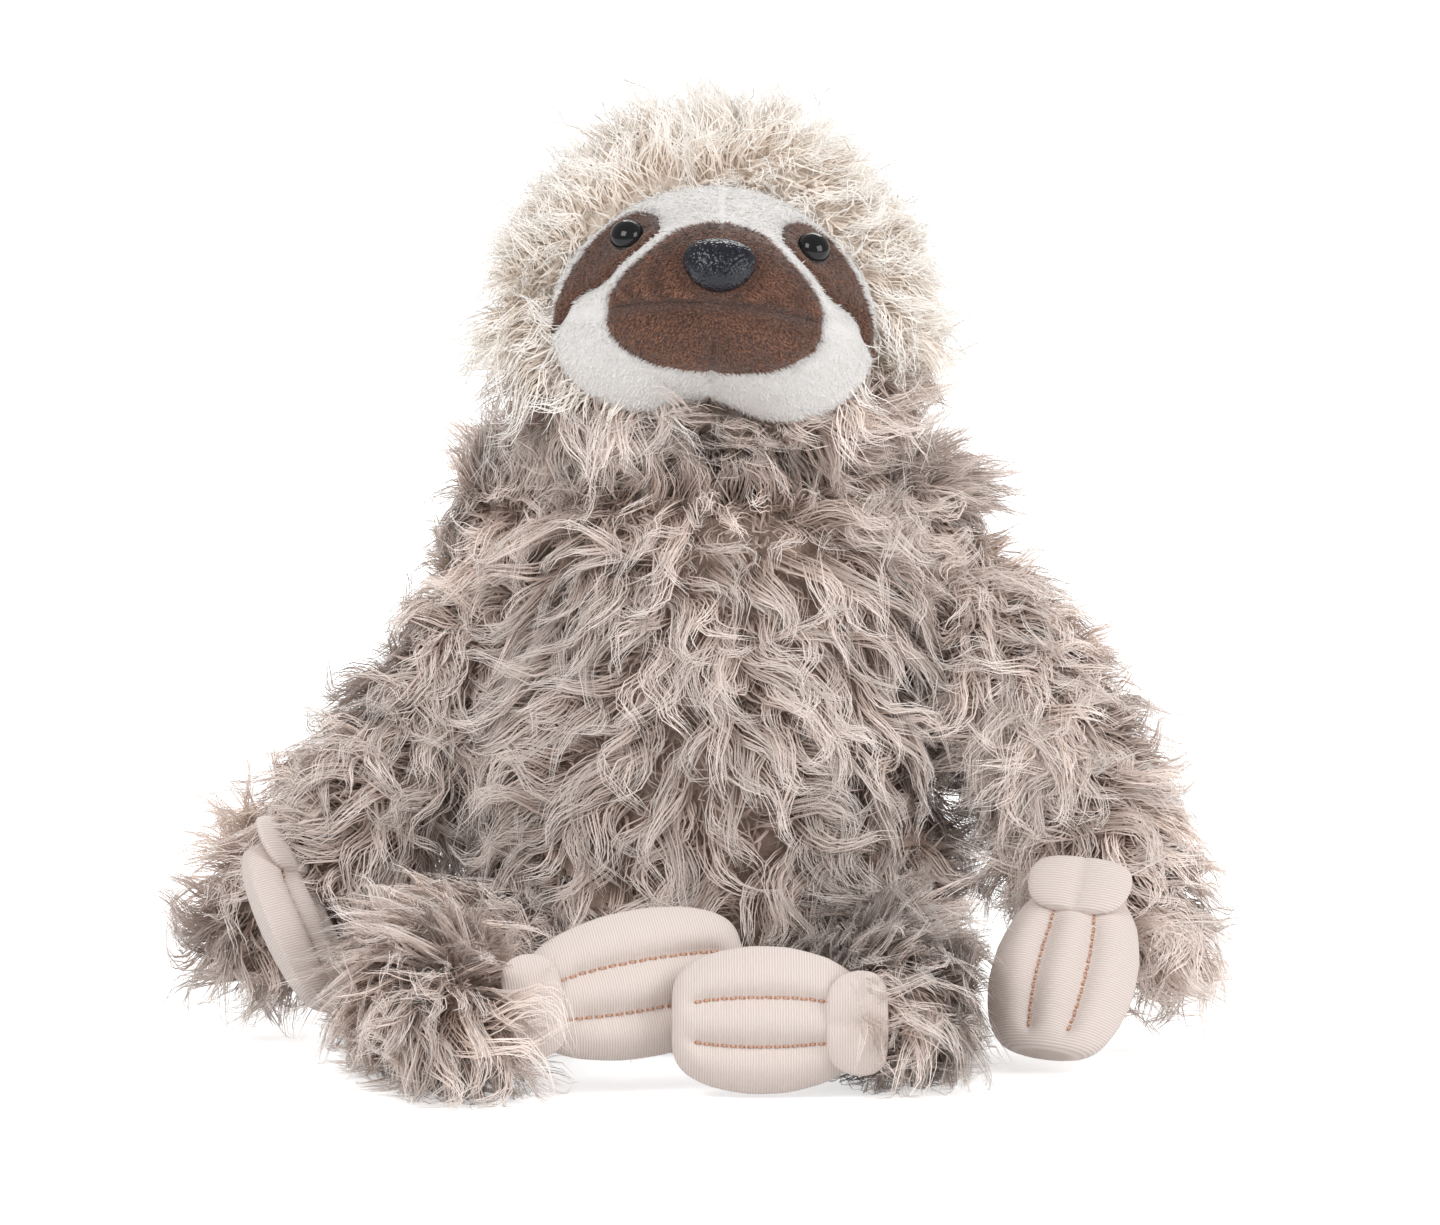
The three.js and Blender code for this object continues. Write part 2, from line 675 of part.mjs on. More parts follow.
const limbs = [
  {
    name: 'left_arm', mitt: 'left_hand', side: 1,
    radius: armRadius, shares: armTaperShares, ball: shoulderBall,
    root: point(1, shoulderOut, -shoulderBack, shoulderHeight),
    middle: point(1, leftElbowOut, leftElbowForward, leftElbowHeight),
    end: point(1, leftWristOut, leftWristForward, leftWristHeight),
    claws: point(1, leftClawOut, leftClawForward, leftClawHeight),
    tip: point(1, leftTipOut, leftTipForward, leftTipHeight),
    axis: frontWay.clone().negate(), lift: -armLift, flex: -mittFlex,
    palm: new THREE.Vector3(...leftPalmShares),
  },
  {
    name: 'right_arm', mitt: 'right_hand', side: -1,
    radius: armRadius, shares: armTaperShares, ball: shoulderBall,
    root: point(-1, shoulderOut, -shoulderBack, shoulderHeight),
    middle: point(-1, rightElbowOut, rightElbowForward, rightElbowHeight),
    end: point(-1, rightWristOut, rightWristForward, rightWristHeight),
    claws: point(-1, rightClawOut, rightClawForward, rightClawHeight),
    tip: point(-1, rightTipOut, rightTipForward, rightTipHeight),
    axis: frontWay.clone().negate(), lift: armLift, flex: mittFlex,
    palm: new THREE.Vector3(...rightPalmShares),
  },
  {
    name: 'left_leg', mitt: 'left_foot', side: 1,
    radius: legRadius, shares: legTaperShares, ball: hipBall,
    root: point(1, hipOut, hipForward, hipHeight),
    middle: point(1, leftKneeOut, leftKneeForward, kneeHeight),
    end: point(1, leftAnkleOut, leftAnkleForward, kneeHeight),
    claws: point(1, leftHeelOut, leftHeelForward, leftHeelHeight),
    tip: point(-1, leftToeIn, leftToeForward, leftToeHeight),
    axis: acrossWay.clone(), lift: -legLift, flex: -mittFlex, palm: frontWay.clone(),
  },
  {
    name: 'right_leg', mitt: 'right_foot', side: -1,
    radius: legRadius, shares: legTaperShares, ball: hipBall,
    root: point(-1, hipOut, hipForward, hipHeight),
    middle: point(-1, rightKneeOut, rightKneeForward, kneeHeight),
    end: point(-1, rightAnkleOut, rightAnkleForward, kneeHeight),
    claws: point(-1, rightHeelOut, rightHeelForward, rightHeelHeight),
    tip: point(1, rightToeIn, rightToeForward, rightToeHeight),
    axis: acrossWay.clone(), lift: -legLift, flex: mittFlex, palm: frontWay.clone(),
  },
];

function limbForm(limb) {
  const curve = new THREE.CatmullRomCurve3([limb.root, limb.middle, limb.end]);
  const half = (along) => {
    const radius = limb.radius * shareAt(limb.shares, along);
    return { wide: radius, thick: radius };
  };
  return stuffedTube(curve, upWay, half, limbSides, limbRings, limbBluntShare);
}

function mittForm(limb, grow) {
  const { start, side } = mittFrame(limb);
  const curve = new THREE.LineCurve3(start, limb.tip);
  const half = (along, across) => {
    const open = THREE.MathUtils.smoothstep(along, channelStartShare, 2 * channelStartShare)
      - THREE.MathUtils.smoothstep(along, channelEndShare, 1);
    const channel = 1 - Math.abs(Math.cos(mittChannels * Math.PI / 2 * across)) ** channelSharpShare;
    const puff = 1 - channelDepthShare * Math.max(open, 0) * channel;
    return {
      wide: mittWidth / 2 * shareAt(mittWidthShares, along) + grow,
      thick: mittThick / 2 * puff + grow,
    };
  };
  return stuffedTube(curve, side, half, mittSides, mittRings, mittBluntShare);
}

function mittFrame(limb) {
  const start = limb.claws;
  const along = limb.tip.clone().sub(start).normalize();
  const side = new THREE.Vector3().crossVectors(limb.palm, along).normalize();
  const palm = new THREE.Vector3().crossVectors(along, side);
  return { start, along, side, palm };
}

// Cuff: the flattened end of the sleeve that the claws are sewn into
function cuffForm(limb) {
  const { start, along, side } = mittFrame(limb);
  const back = start.clone().addScaledVector(along, -cuffBack);
  const curve = new THREE.LineCurve3(back, start.clone().addScaledVector(along, cuffOver));
  const half = () => ({ wide: mittWidth / 2, thick: mittThick / 2 + cuffWall });
  return stuffedTube(curve, side, half, limbSides, limbRings, limbBluntShare);
}

// Pad: a small pillow over the root of the claws, on the palm's side
function padForm(limb, grow) {
  const { start, along, side, palm } = mittFrame(limb);
  const root = start.clone().addScaledVector(palm, padRise).addScaledVector(along, -padBack);
  const curve = new THREE.LineCurve3(root, root.clone().addScaledVector(along, padLong));
  const half = () => ({ wide: padWide / 2 + grow, thick: padThick / 2 + grow });
  return stuffedTube(curve, side, half, padSides, padRings, limbBluntShare);
}

function turns(most, count) {
  return Array.from({ length: count }, (unused, index) => most * index / (count - 1));
}

function makeTorso() {
  let torso = solidOf(torsoForm(0)).subtract(solidOf(neckHollow()));
  for (const limb of limbs) {
    const socket = (limb.ball + jointGap) * clearOfFlats(limbSides) * clearOfFlats(2 * limbRings);
    torso = torso.subtract(solidOf(ball(limb.root, socket)));
  }
  torso = torso.subtract(solidOf(seatForm(seamGap, -overrun, seatPanelThick + seamGap)));
  torso = torso.subtract(beanBag(seamGap));
  const group = new THREE.Group();
  group.add(meshOf('torso', mainBody(torso), furGreige));
  group.add(meshOf('seat_panel', solidOf(seatForm(0, 0, seatPanelThick)), liningCloth));
  group.add(meshOf('bean_bag', beanBag(0), liningCloth));
  return group;
}

function makeLimb(limb) {
  const { start, side } = mittFrame(limb);
  const obstacles = [torsoForm(jointGap)];
  const swings = turns(-limb.lift, reliefSteps);
  let sleeve = relieve(solidOf(limbForm(limb)), obstacles, limb.root, limb.axis, swings);
  sleeve = sleeve.add(solidOf(ball(limb.root, limb.ball))).add(solidOf(cuffForm(limb)));
  const ends = [mittForm(limb, jointGap), padForm(limb, jointGap)];
  sleeve = relieve(sleeve, ends, start, side, turns(limb.flex, reliefSteps));
  const pad = solidOf(padForm(limb, 0)).subtract(solidOf(mittForm(limb, seamGap)));
  const group = new THREE.Group();
  group.add(meshOf(limb.name, mainBody(sleeve), furGreige));
  group.add(meshOf(`${limb.mitt}_mitt`, solidOf(mittForm(limb, 0)), creamKnit));
  group.add(meshOf(`${limb.mitt}_pad`, mainBody(pad), creamKnit));
  return group;
}

const sloth = new THREE.Group();
sloth.add(makeHead());
sloth.add(makeTorso());
for (const limb of limbs) {
  sloth.add(makeLimb(limb));
}

export default sloth;
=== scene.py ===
# %% [markdown]
# A seated plush sloth with long curly fur. The frame gives every piece's place and size, and this script
# dresses it: a backing cloth and locks of fur on each furry piece, short-pile face panels, glossy eyes, a
# grained nose and knit claws. Lengths are in metres, and those written in millimetres are multiplied by MM.

# %% Load the frame
import math
import bmesh
import bpy
import numpy as np
from mathutils import Matrix, Vector


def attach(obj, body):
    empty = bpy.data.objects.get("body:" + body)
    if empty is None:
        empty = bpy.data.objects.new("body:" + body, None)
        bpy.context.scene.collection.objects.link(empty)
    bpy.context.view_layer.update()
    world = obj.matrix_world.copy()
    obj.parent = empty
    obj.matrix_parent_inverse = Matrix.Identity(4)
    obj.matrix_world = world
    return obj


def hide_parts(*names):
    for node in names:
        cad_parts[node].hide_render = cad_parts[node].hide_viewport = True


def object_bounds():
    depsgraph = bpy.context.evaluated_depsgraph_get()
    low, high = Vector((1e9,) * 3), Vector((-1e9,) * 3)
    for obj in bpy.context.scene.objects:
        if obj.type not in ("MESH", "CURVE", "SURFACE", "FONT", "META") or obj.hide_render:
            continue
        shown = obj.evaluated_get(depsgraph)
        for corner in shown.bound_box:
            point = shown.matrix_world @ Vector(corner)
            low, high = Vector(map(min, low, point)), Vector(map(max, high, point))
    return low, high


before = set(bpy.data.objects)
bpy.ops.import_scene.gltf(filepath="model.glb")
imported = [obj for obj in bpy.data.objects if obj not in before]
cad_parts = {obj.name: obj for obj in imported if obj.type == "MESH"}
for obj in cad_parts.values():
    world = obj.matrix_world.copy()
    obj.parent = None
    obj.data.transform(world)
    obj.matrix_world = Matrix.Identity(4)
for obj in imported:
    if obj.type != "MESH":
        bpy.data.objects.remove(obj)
cad_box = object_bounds()
MM = 0.001

# %% [markdown]
# Fur stands a little proud of the solids under it. The room is the box that it may fill: three hundredths
# of each side and ten millimetres more than the solids' own box, at either end.

# %% The room for the fur
PROUD_SHARE, PROUD_BY = 0.03, 10 * MM
proud = [PROUD_SHARE * (cad_box[1][k] - cad_box[0][k]) + PROUD_BY for k in range(3)]
ROOM = [np.array([cad_box[end][k] + sign * proud[k] for k in range(3)]) for end, sign in ((0, -1), (1, 1))]
print("room", [np.round(corner, 4).tolist() for corner in ROOM])

# %% [markdown]
# The toy is seen as in a catalogue picture. A long lens far away keeps it free of perspective, and the
# camera looks down a little. The lens follows from how many pixels the toy's millimetres fill.

# %% Camera
PHOTO_WIDE = 1440
PIXEL = 0.28 * MM
LOOK_DOWN = math.radians(8.0)
CAMERA_FAR = 14.0
look = Vector((0, math.cos(LOOK_DOWN), -math.sin(LOOK_DOWN)))
middle = Vector((1.4 * MM, 0, 117.5 * MM))
lens = bpy.data.cameras.new("camera")
lens.sensor_width = 36
lens.lens = lens.sensor_width * CAMERA_FAR / (PHOTO_WIDE * PIXEL)
lens.clip_end = 50
camera = bpy.data.objects.new("camera", lens)
camera.location = middle - look * CAMERA_FAR
camera.rotation_euler = look.to_track_quat("-Z", "Y").to_euler()
bpy.context.scene.collection.objects.link(camera)
bpy.context.scene.camera = camera
bpy.context.scene.view_settings.view_transform = "Standard"
print("lens", round(lens.lens, 1), "mm")

# %% [markdown]
# Each new piece ends as a mesh object at the origin, smooth shaded, with one material. Doing that in one
# helper keeps the later cells to what is special about a piece.


# %% Helpers for pieces
def link(piece):
    bpy.context.scene.collection.objects.link(piece)
    return piece


def smooth_shaded(mesh):
    mesh.polygons.foreach_set("use_smooth", [True] * len(mesh.polygons))


def piece_of(name, bm, material):
    """A bmesh as a named piece at the origin."""
    mesh = bpy.data.meshes.new(name)
    bm.to_mesh(mesh)
    bm.free()
    smooth_shaded(mesh)
    mesh.materials.append(material)
    return link(bpy.data.objects.new(name, mesh))


# %% [markdown]
# A material starts as a Principled shader with constant sockets, and patterns are wired to it afterwards.
# Colours are given as 0 to 255 display values, because that is how they are read off cloth, and made linear
# for Blender.


# %% Helpers for materials
def new_material(name, colour, roughness, **sockets):
    """A Principled material with constant sockets."""
    material = bpy.data.materials.new(name)
    material.use_nodes = True
    shader = shader_of(material)
    shader.inputs["Base Color"].default_value = (*colour, 1)
    shader.inputs["Roughness"].default_value = roughness
    for socket, value in sockets.items():
        shader.inputs[socket.replace("_", " ")].default_value = value
    return material


def shader_of(material):
    return material.node_tree.nodes["Principled BSDF"]


def srgb(red, green, blue):
    """A colour given as 0 to 255 display values."""
    def linear(value):
        value /= 255
        return value / 12.92 if value <= 0.04045 else ((value + 0.055) / 1.055) ** 2.4
    return (linear(red), linear(green), linear(blue))


def add_node(tree, kind, inputs=None, **settings):
    """A new node with its settings and the values of its inputs."""
    node = tree.nodes.new(kind)
    for key, value in settings.items():
        setattr(node, key, value)
    for key, value in (inputs or {}).items():
        node.inputs[key].default_value = value
    return node


def wire(tree, *pairs):
    """Links outputs to inputs, given in pairs."""
    for source, target in pairs:
        tree.links.new(source, target)


def colour_ramp(tree, *stops):
    """A ramp through stops of (position, colour)."""
    ramp = add_node(tree, "ShaderNodeValToRGB")
    points = ramp.color_ramp.elements
    for point, (position, colour) in zip((points[0], points[1]), (stops[0], stops[-1])):
        point.position = position
        point.color = (*colour, 1)
    for position, colour in stops[1:-1]:
        points.new(position).color = (*colour, 1)
    return ramp


# %% [markdown]
# Two effects come back in several materials, so each is a node group. A lock of fur is paler or darker than
# its neighbour as a whole: lock_tone scales a colour by the tone that the lock's map holds. Cloth, short
# pile and moulded plastic all waver at a fine grain: fine_grain is noise on the object's own coordinates.

# %% Node groups for the effects that materials share
FLOAT, COLOUR = "NodeSocketFloat", "NodeSocketColor"


def new_group(name, takes, gives):
    """An empty shader node group with named sockets, given as {name: type}."""
    group = bpy.data.node_groups.new(name, "ShaderNodeTree")
    for in_out, sockets in (("INPUT", takes), ("OUTPUT", gives)):
        for label, kind in sockets.items():
            group.interface.new_socket(label, in_out=in_out, socket_type=kind)
    return group, group.nodes.new("NodeGroupInput"), group.nodes.new("NodeGroupOutput")


# %% The group lock_tone
lock_tone, tone_in, tone_out = new_group(
    "lock_tone", {"Color": COLOUR, "Tone": FLOAT, "Dark": FLOAT, "Light": FLOAT}, {"Color": COLOUR})
shade = add_node(lock_tone, "ShaderNodeMapRange")
tint = add_node(lock_tone, "ShaderNodeVectorMath", operation="SCALE")
wire(lock_tone, (tone_in.outputs["Tone"], shade.inputs["Value"]),
     (tone_in.outputs["Dark"], shade.inputs["To Min"]), (tone_in.outputs["Light"], shade.inputs["To Max"]),
     (tone_in.outputs["Color"], tint.inputs[0]), (shade.outputs["Result"], tint.inputs["Scale"]),
     (tint.outputs["Vector"], tone_out.inputs["Color"]))

# %% The group fine_grain
fine_grain, grain_in, grain_out = new_group(
    "fine_grain", {"Scale": FLOAT, "Detail": FLOAT}, {"Grain": FLOAT})
where = add_node(fine_grain, "ShaderNodeTexCoord")
noise = add_node(fine_grain, "ShaderNodeTexNoise")
wire(fine_grain, (where.outputs["Object"], noise.inputs["Vector"]),
     (grain_in.outputs["Scale"], noise.inputs["Scale"]),
     (grain_in.outputs["Detail"], noise.inputs["Detail"]), (noise.outputs["Fac"], grain_out.inputs["Grain"]))


def grain_node(tree, scale, detail=2.0):
    return add_node(tree, "ShaderNodeGroup", {"Scale": scale, "Detail": detail}, node_tree=fine_grain)


print("groups", [group.name for group in bpy.data.node_groups])

# %% [markdown]
# The sweep is white to the camera wherever light reaches it, and keeps the toy's soft shadow. Its material
# adds a little glow for camera, mirror and glass rays only, so the lamps can stay at a plain level.

# %% Floor
SWEEP_GREY, SWEEP_GLOW, SWEEP_HALF = 0.93, 0.62, 6.0


def camera_glow(material, strength):
    """Adds light that only the camera, mirrors and glass see."""
    tree, shader = material.node_tree, shader_of(material)
    path = add_node(tree, "ShaderNodeLightPath")
    first = add_node(tree, "ShaderNodeMath", operation="MAXIMUM")
    second = add_node(tree, "ShaderNodeMath", operation="MAXIMUM")
    scale = add_node(tree, "ShaderNodeMath", {1: strength}, operation="MULTIPLY")
    shader.inputs["Emission Color"].default_value = (1, 1, 1, 1)
    wire(tree, (path.outputs["Is Camera Ray"], first.inputs[0]),
         (path.outputs["Is Glossy Ray"], first.inputs[1]), (first.outputs[0], second.inputs[0]),
         (path.outputs["Is Transmission Ray"], second.inputs[1]),
         (second.outputs[0], scale.inputs[0]), (scale.outputs[0], shader.inputs["Emission Strength"]))


sweep_white = new_material("sweep_white", (SWEEP_GREY,) * 3, 1.0, Specular_IOR_Level=0.0)
camera_glow(sweep_white, SWEEP_GLOW)
floor_bm = bmesh.new()
bmesh.ops.create_grid(floor_bm, x_segments=8, y_segments=8, size=SWEEP_HALF)
floor = piece_of("sweep_floor", floor_bm, sweep_white)
print("floor", 2 * SWEEP_HALF, "m wide")

# %% [markdown]
# The world is white to the camera and half as bright to the toy. Three large softboxes give the rest: one
# from the viewer's left, a weaker one from the right, and one from behind, which lights the tips of the
# fur.

# %% World
WORLD_LIGHT, WORLD_SEEN = 0.5, 1.0
world = bpy.data.worlds.new("studio")
bpy.context.scene.world = world
world.use_nodes = True
background = world.node_tree.nodes["Background"]
background.inputs["Color"].default_value = (1, 1, 1, 1)
light_path = add_node(world.node_tree, "ShaderNodeLightPath")
seen = add_node(world.node_tree, "ShaderNodeMapRange", {"To Min": WORLD_LIGHT, "To Max": WORLD_SEEN})
wire(world.node_tree, (light_path.outputs["Is Camera Ray"], seen.inputs["Value"]),
     (seen.outputs["Result"], background.inputs["Strength"]))

# %% Lamps
LAMPS_AIM = Vector((0, 0, 0.12))


def softbox(name, place, size, power):
    """A flat lamp aimed at the toy's middle, with its size in metres and its power in watts."""
    data = bpy.data.lights.new(name, "AREA")
    data.shape = "RECTANGLE"
    data.size, data.size_y = size
    data.energy = power
    lamp = link(bpy.data.objects.new(name, data))
    lamp.location = place
    lamp.rotation_euler = (LAMPS_AIM - Vector(place)).to_track_quat("-Z", "Y").to_euler()


softbox("key_softbox", (-0.9, -1.3, 1.35), (0.9, 0.9), 16)
softbox("fill_softbox", (1.3, -1.0, 0.8), (0.9, 0.9), 12)
softbox("back_softbox", (0.2, 1.2, 1.3), (1.2, 0.6), 14)

# %% [markdown]
# Fur needs an even skin to grow from, and the frame's solids are cut into uneven triangles. A merged copy
# of a solid, remeshed by voxels and smoothed, has corners at even distances and soft normals.


# %% Even skins from the frame's solids
def merged_copy(*names):
    """The solids of some nodes as one bmesh with shared corners."""
    bm = bmesh.new()
    for name in names:
        bm.from_mesh(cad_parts[name].data)
    bmesh.ops.remove_doubles(bm, verts=bm.verts, dist=0.00001)
    return bm


def remeshed(name, bm, voxel, smooth_steps):
    """An even skin over a closed bmesh."""
    mesh = bpy.data.meshes.new(name)
    bm.to_mesh(mesh)
    bm.free()
    scratch = link(bpy.data.objects.new(name, mesh))
    remesh = scratch.modifiers.new("even", "REMESH")
    remesh.mode = "VOXEL"
    remesh.voxel_size = voxel
    soften = scratch.modifiers.new("soften", "SMOOTH")
    soften.iterations = smooth_steps
    soften.factor = 0.5
    graph = bpy.context.evaluated_depsgraph_get()
    skin = bpy.data.meshes.new_from_object(scratch.evaluated_get(graph))
    bpy.data.objects.remove(scratch)
    return skin


def clothed(mesh, material):
    """Gives a skin one material and smooth shading."""
    mesh.materials.clear()
    mesh.materials.append(material)
    smooth_shaded(mesh)


# %% Places on a skin
def unit(vectors):
    length = np.linalg.norm(vectors, axis=-1, keepdims=True)
    return vectors / np.maximum(length, 1e-12)


def skin_arrays(mesh):
    """Corners, corner normals, triangles and their areas."""
    mesh.calc_loop_triangles()
    place = np.empty(len(mesh.vertices) * 3)
    mesh.vertices.foreach_get("co", place)
    normal = np.empty(len(mesh.vertices) * 3)
    mesh.vertex_normals.foreach_get("vector", normal)
    faces = np.empty(len(mesh.loop_triangles) * 3, int)
    mesh.loop_triangles.foreach_get("vertices", faces)
    place, normal, faces = place.reshape(-1, 3), normal.reshape(-1, 3), faces.reshape(-1, 3)
    a, b, c = (place[faces[:, k]] for k in range(3))
    area = np.linalg.norm(np.cross(b - a, c - a), axis=1) / 2
    return place, normal, faces, area


def scatter(mesh, count, rng, keep):
    """Even random points on a skin and their normals, where the rule 'keep' holds."""
    place, normal, faces, area = skin_arrays(mesh)
    chosen = faces[rng.choice(len(faces), count, p=area / area.sum())]
    u, v = rng.random(count), rng.random(count)
    over = u + v > 1
    u[over], v[over] = 1 - u[over], 1 - v[over]
    weight = np.stack([1 - u - v, u, v], 1)[:, :, None]
    points = (place[chosen] * weight).sum(1)
    normals = unit((normal[chosen] * weight).sum(1))
    held = keep(points, normals)
    return points[held], normals[held]


def shrink(mesh, depth):
    """Moves a skin's corners inward along their normals."""
    place, normal, _, _ = skin_arrays(mesh)
    mesh.vertices.foreach_set("co", (place - normal * depth).ravel())
    mesh.update()
    return mesh


# %% [markdown]
# Long-pile fur lies in locks: many fibres leave the cloth together, bend over and curl as one, and draw
# together at the tip. A lock is a path that starts upright, lies down along the nap and sways from side to
# side. Each fibre is a narrow tapering ribbon beside that path. Hair curves would curl as well, but ribbons
# are plain mesh, with a few faces each, so that all 147,000 of them stay light enough.

# %% The path of a lock
GUIDE_STEPS = 16
SWIRL_WAVES = 6
LOCK_TURNS = 1.05
LOCKS_ALIKE = 15 * MM
FLOOR_GAP = 0.4 * MM
PILE_UP = 3


def swirl(points, size, seed):
    """A smooth vector field, about one long, that changes over the given size."""
    rng = np.random.default_rng(seed)
    total = np.zeros_like(points)
    for _ in range(SWIRL_WAVES):
        wave = rng.normal(0, 1, 3) / size
        total += rng.normal(0, 1, 3) * np.sin(points @ wave * 2 + rng.uniform(0, 6.3))[:, None]
    return total / 1.7


def lock_paths(points, normals, nap, length, rng, rise=52, lay=3, sway=45, curl=0.1):
    """The path of each lock. Rise and lay are its degrees off the skin at root and tip."""
    count = len(points)
    flow = unit(nap - normals * (nap * normals).sum(1)[:, None])
    across = np.cross(normals, flow)
    share = (np.arange(GUIDE_STEPS) + 0.5) / GUIDE_STEPS
    field = swirl(points, LOCKS_ALIKE, 77)
    turns = (LOCK_TURNS + 0.25 * field[:, 0] + rng.normal(0, 0.08, count))[:, None]
    phase = (2.4 * field[:, 1] + rng.normal(0, 0.5, count))[:, None]
    swing = np.radians(sway) * rng.uniform(0.6, 1.3, count)[:, None]
    heading = swing * np.sin(2 * math.pi * turns * share + phase)
    heading += np.radians(rng.normal(0, sway * 0.3, count))[:, None]
    heading += rng.normal(0, 1, count)[:, None] * curl * 2 * math.pi * share ** 1.5
    start = np.radians(rise * rng.uniform(0.75, 1.2, count))[:, None]
    end = np.radians(lay + rng.normal(0, 14, count))[:, None]
    lift = end + (start - end) * (1 - share) ** 1.6
    step = (length / GUIDE_STEPS)[:, None]
    move = (np.cos(lift) * np.cos(heading) * step)[:, :, None] * flow[:, None]
    move = move + (np.cos(lift) * np.sin(heading) * step)[:, :, None] * across[:, None]
    move = move + (np.sin(lift) * step)[:, :, None] * normals[:, None]
    path = np.concatenate([points[:, None], points[:, None] + np.cumsum(move, 1)], 1)
    low = FLOOR_GAP + (0.2 + rng.random(count)[:, None]) * PILE_UP * MM * np.linspace(0, 1, GUIDE_STEPS + 1)
    path[:, :, 2] = np.maximum(path[:, :, 2], low)
    return path, across


def read_path(path, share):
    """Places on each path at shares of its length."""
    at = np.clip(share, 0, 1) * (path.shape[1] - 1)
    low = np.minimum(at.astype(int), path.shape[1] - 2)
    part = (at - low)[..., None]
    rows = np.arange(len(path))[:, None, None]
    return path[rows, low] * (1 - part) + path[rows, low + 1] * part


# %% Fibres beside the path
FIBRE_STEPS = 6
SHORTEST_FIBRE = 0.58
LOCK_WIDE, LOCK_THICK = 1.25, 0.75
TIP_DRAWN = 0.62
LOOSE_SHARE, LOOSE_BY = 0.14, 3.4
LOWEST = 0.25 * MM


def lock_fibres(path, normals, across, fibres, spread, frizz, rng, steps):
    """The paths of the fibres in each lock, as count x fibres x places x 3. A few of them stray."""
    count = len(path)
    share = np.linspace(0, 1, steps + 1)
    reach = rng.uniform(SHORTEST_FIBRE, 1.0, (count, fibres, 1))
    centre = read_path(path, share[None, None] * reach)
    angle = rng.uniform(0, 2 * math.pi, (count, fibres))
    away = spread * np.sqrt(rng.random((count, fibres)))
    along = np.cross(normals, across)
    side = (LOCK_WIDE * np.cos(angle) * away)[..., None] * across[:, None]
    side = side + (LOCK_THICK * np.sin(angle) * away)[..., None] * along[:, None]
    close = 1 - TIP_DRAWN * share ** 1.3
    loose = np.where(rng.random((count, fibres)) < LOOSE_SHARE, LOOSE_BY, 1.0)[..., None, None]
    own = rng.normal(0, 1, (count, fibres, 2, 3)) * frizz * loose
    wave = rng.uniform(0.8, 2.2, (count, fibres, 1)) * 2 * math.pi * share
    wave = wave + rng.uniform(0, 6.3, (count, fibres, 1))
    bend = own[:, :, None, 0] * np.sin(wave)[..., None] + own[:, :, None, 1] * np.cos(wave)[..., None]
    fibre = centre + side[:, :, None] * close[None, None, :, None] + bend * share[None, None, :, None]
    lowest, highest = ROOM[0] + 1 * MM, ROOM[1] - 1 * MM
    lowest[2] = LOWEST
    return np.clip(fibre, lowest, highest)


# %% [markdown]
# All ribbons of a piece share one mesh. A strip one face wide is made once with create_grid, and its
# corners are set out along every fibre at once. The map OFBake gives each ribbon its place in the colours:
# across, the tone of its lock in one of 64 columns, and up, how far a place is from root to tip.

# %% Ribbons
TONES = 64
TIP_HALF = 0.02 * MM


def ribbon_strip(steps):
    """A strip one face wide, as its corners' side (0 or 1) and step, and its faces."""
    bm = bmesh.new()
    bmesh.ops.create_grid(bm, x_segments=1, y_segments=steps - 1, size=0.5)
    side = np.array([round(corner.co.x + 0.5) for corner in bm.verts])
    step = np.array([round((corner.co.y + 0.5) * (steps - 1)) for corner in bm.verts])
    faces = np.array([[corner.index for corner in face.verts] for face in bm.faces])
    bm.free()
    return side, step, faces


def ribbon_mesh(name, fibre, facing, width, tone, material, top=1.0):
    """Tapering ribbons along the fibres. Short wool takes the ramp's colours only up to the share 'top',
    where they are painted shade.
    """
    count, steps = fibre.shape[0], fibre.shape[1]
    along = unit(np.gradient(fibre, axis=1))
    across = unit(np.cross(along, facing[:, None]))
    share = np.linspace(0, 1, steps)
    half = width[:, None] / 2 * (0.55 + 0.45 * np.sin(np.minimum(share * 2.2, 1) * math.pi / 2))
    half = half * (1 - share ** 3) + TIP_HALF
    side, step, strip = ribbon_strip(steps)
    corners = fibre[:, step] + across[:, step] * (half[:, step] * (2 * side - 1))[..., None]
    faces = (np.arange(count)[:, None, None] * steps * 2 + strip[None]).reshape(-1, 4)
    mesh = bpy.data.meshes.new(name)
    mesh.vertices.add(count * steps * 2)
    mesh.vertices.foreach_set("co", corners.ravel())
    mesh.loops.add(faces.size)
    mesh.loops.foreach_set("vertex_index", faces.ravel())
    mesh.polygons.add(len(faces))
    mesh.polygons.foreach_set("loop_start", np.arange(len(faces)) * 4)
    smooth_shaded(mesh)
    column = np.clip((tone * TONES).astype(int), 0, TONES - 1)
    place = np.empty((count, steps * 2, 2))
    place[..., 0] = (column[:, None] + 0.1 + 0.8 * side[None]) / TONES
    place[..., 1] = 0.01 + 0.98 * top * share[step][None]
    mesh.uv_layers.new(name="OFBake").data.foreach_set("uv", place.reshape(-1, 2)[faces.ravel()].ravel())
    mesh.update()
    mesh.materials.append(material)
    return link(bpy.data.objects.new(name, mesh))


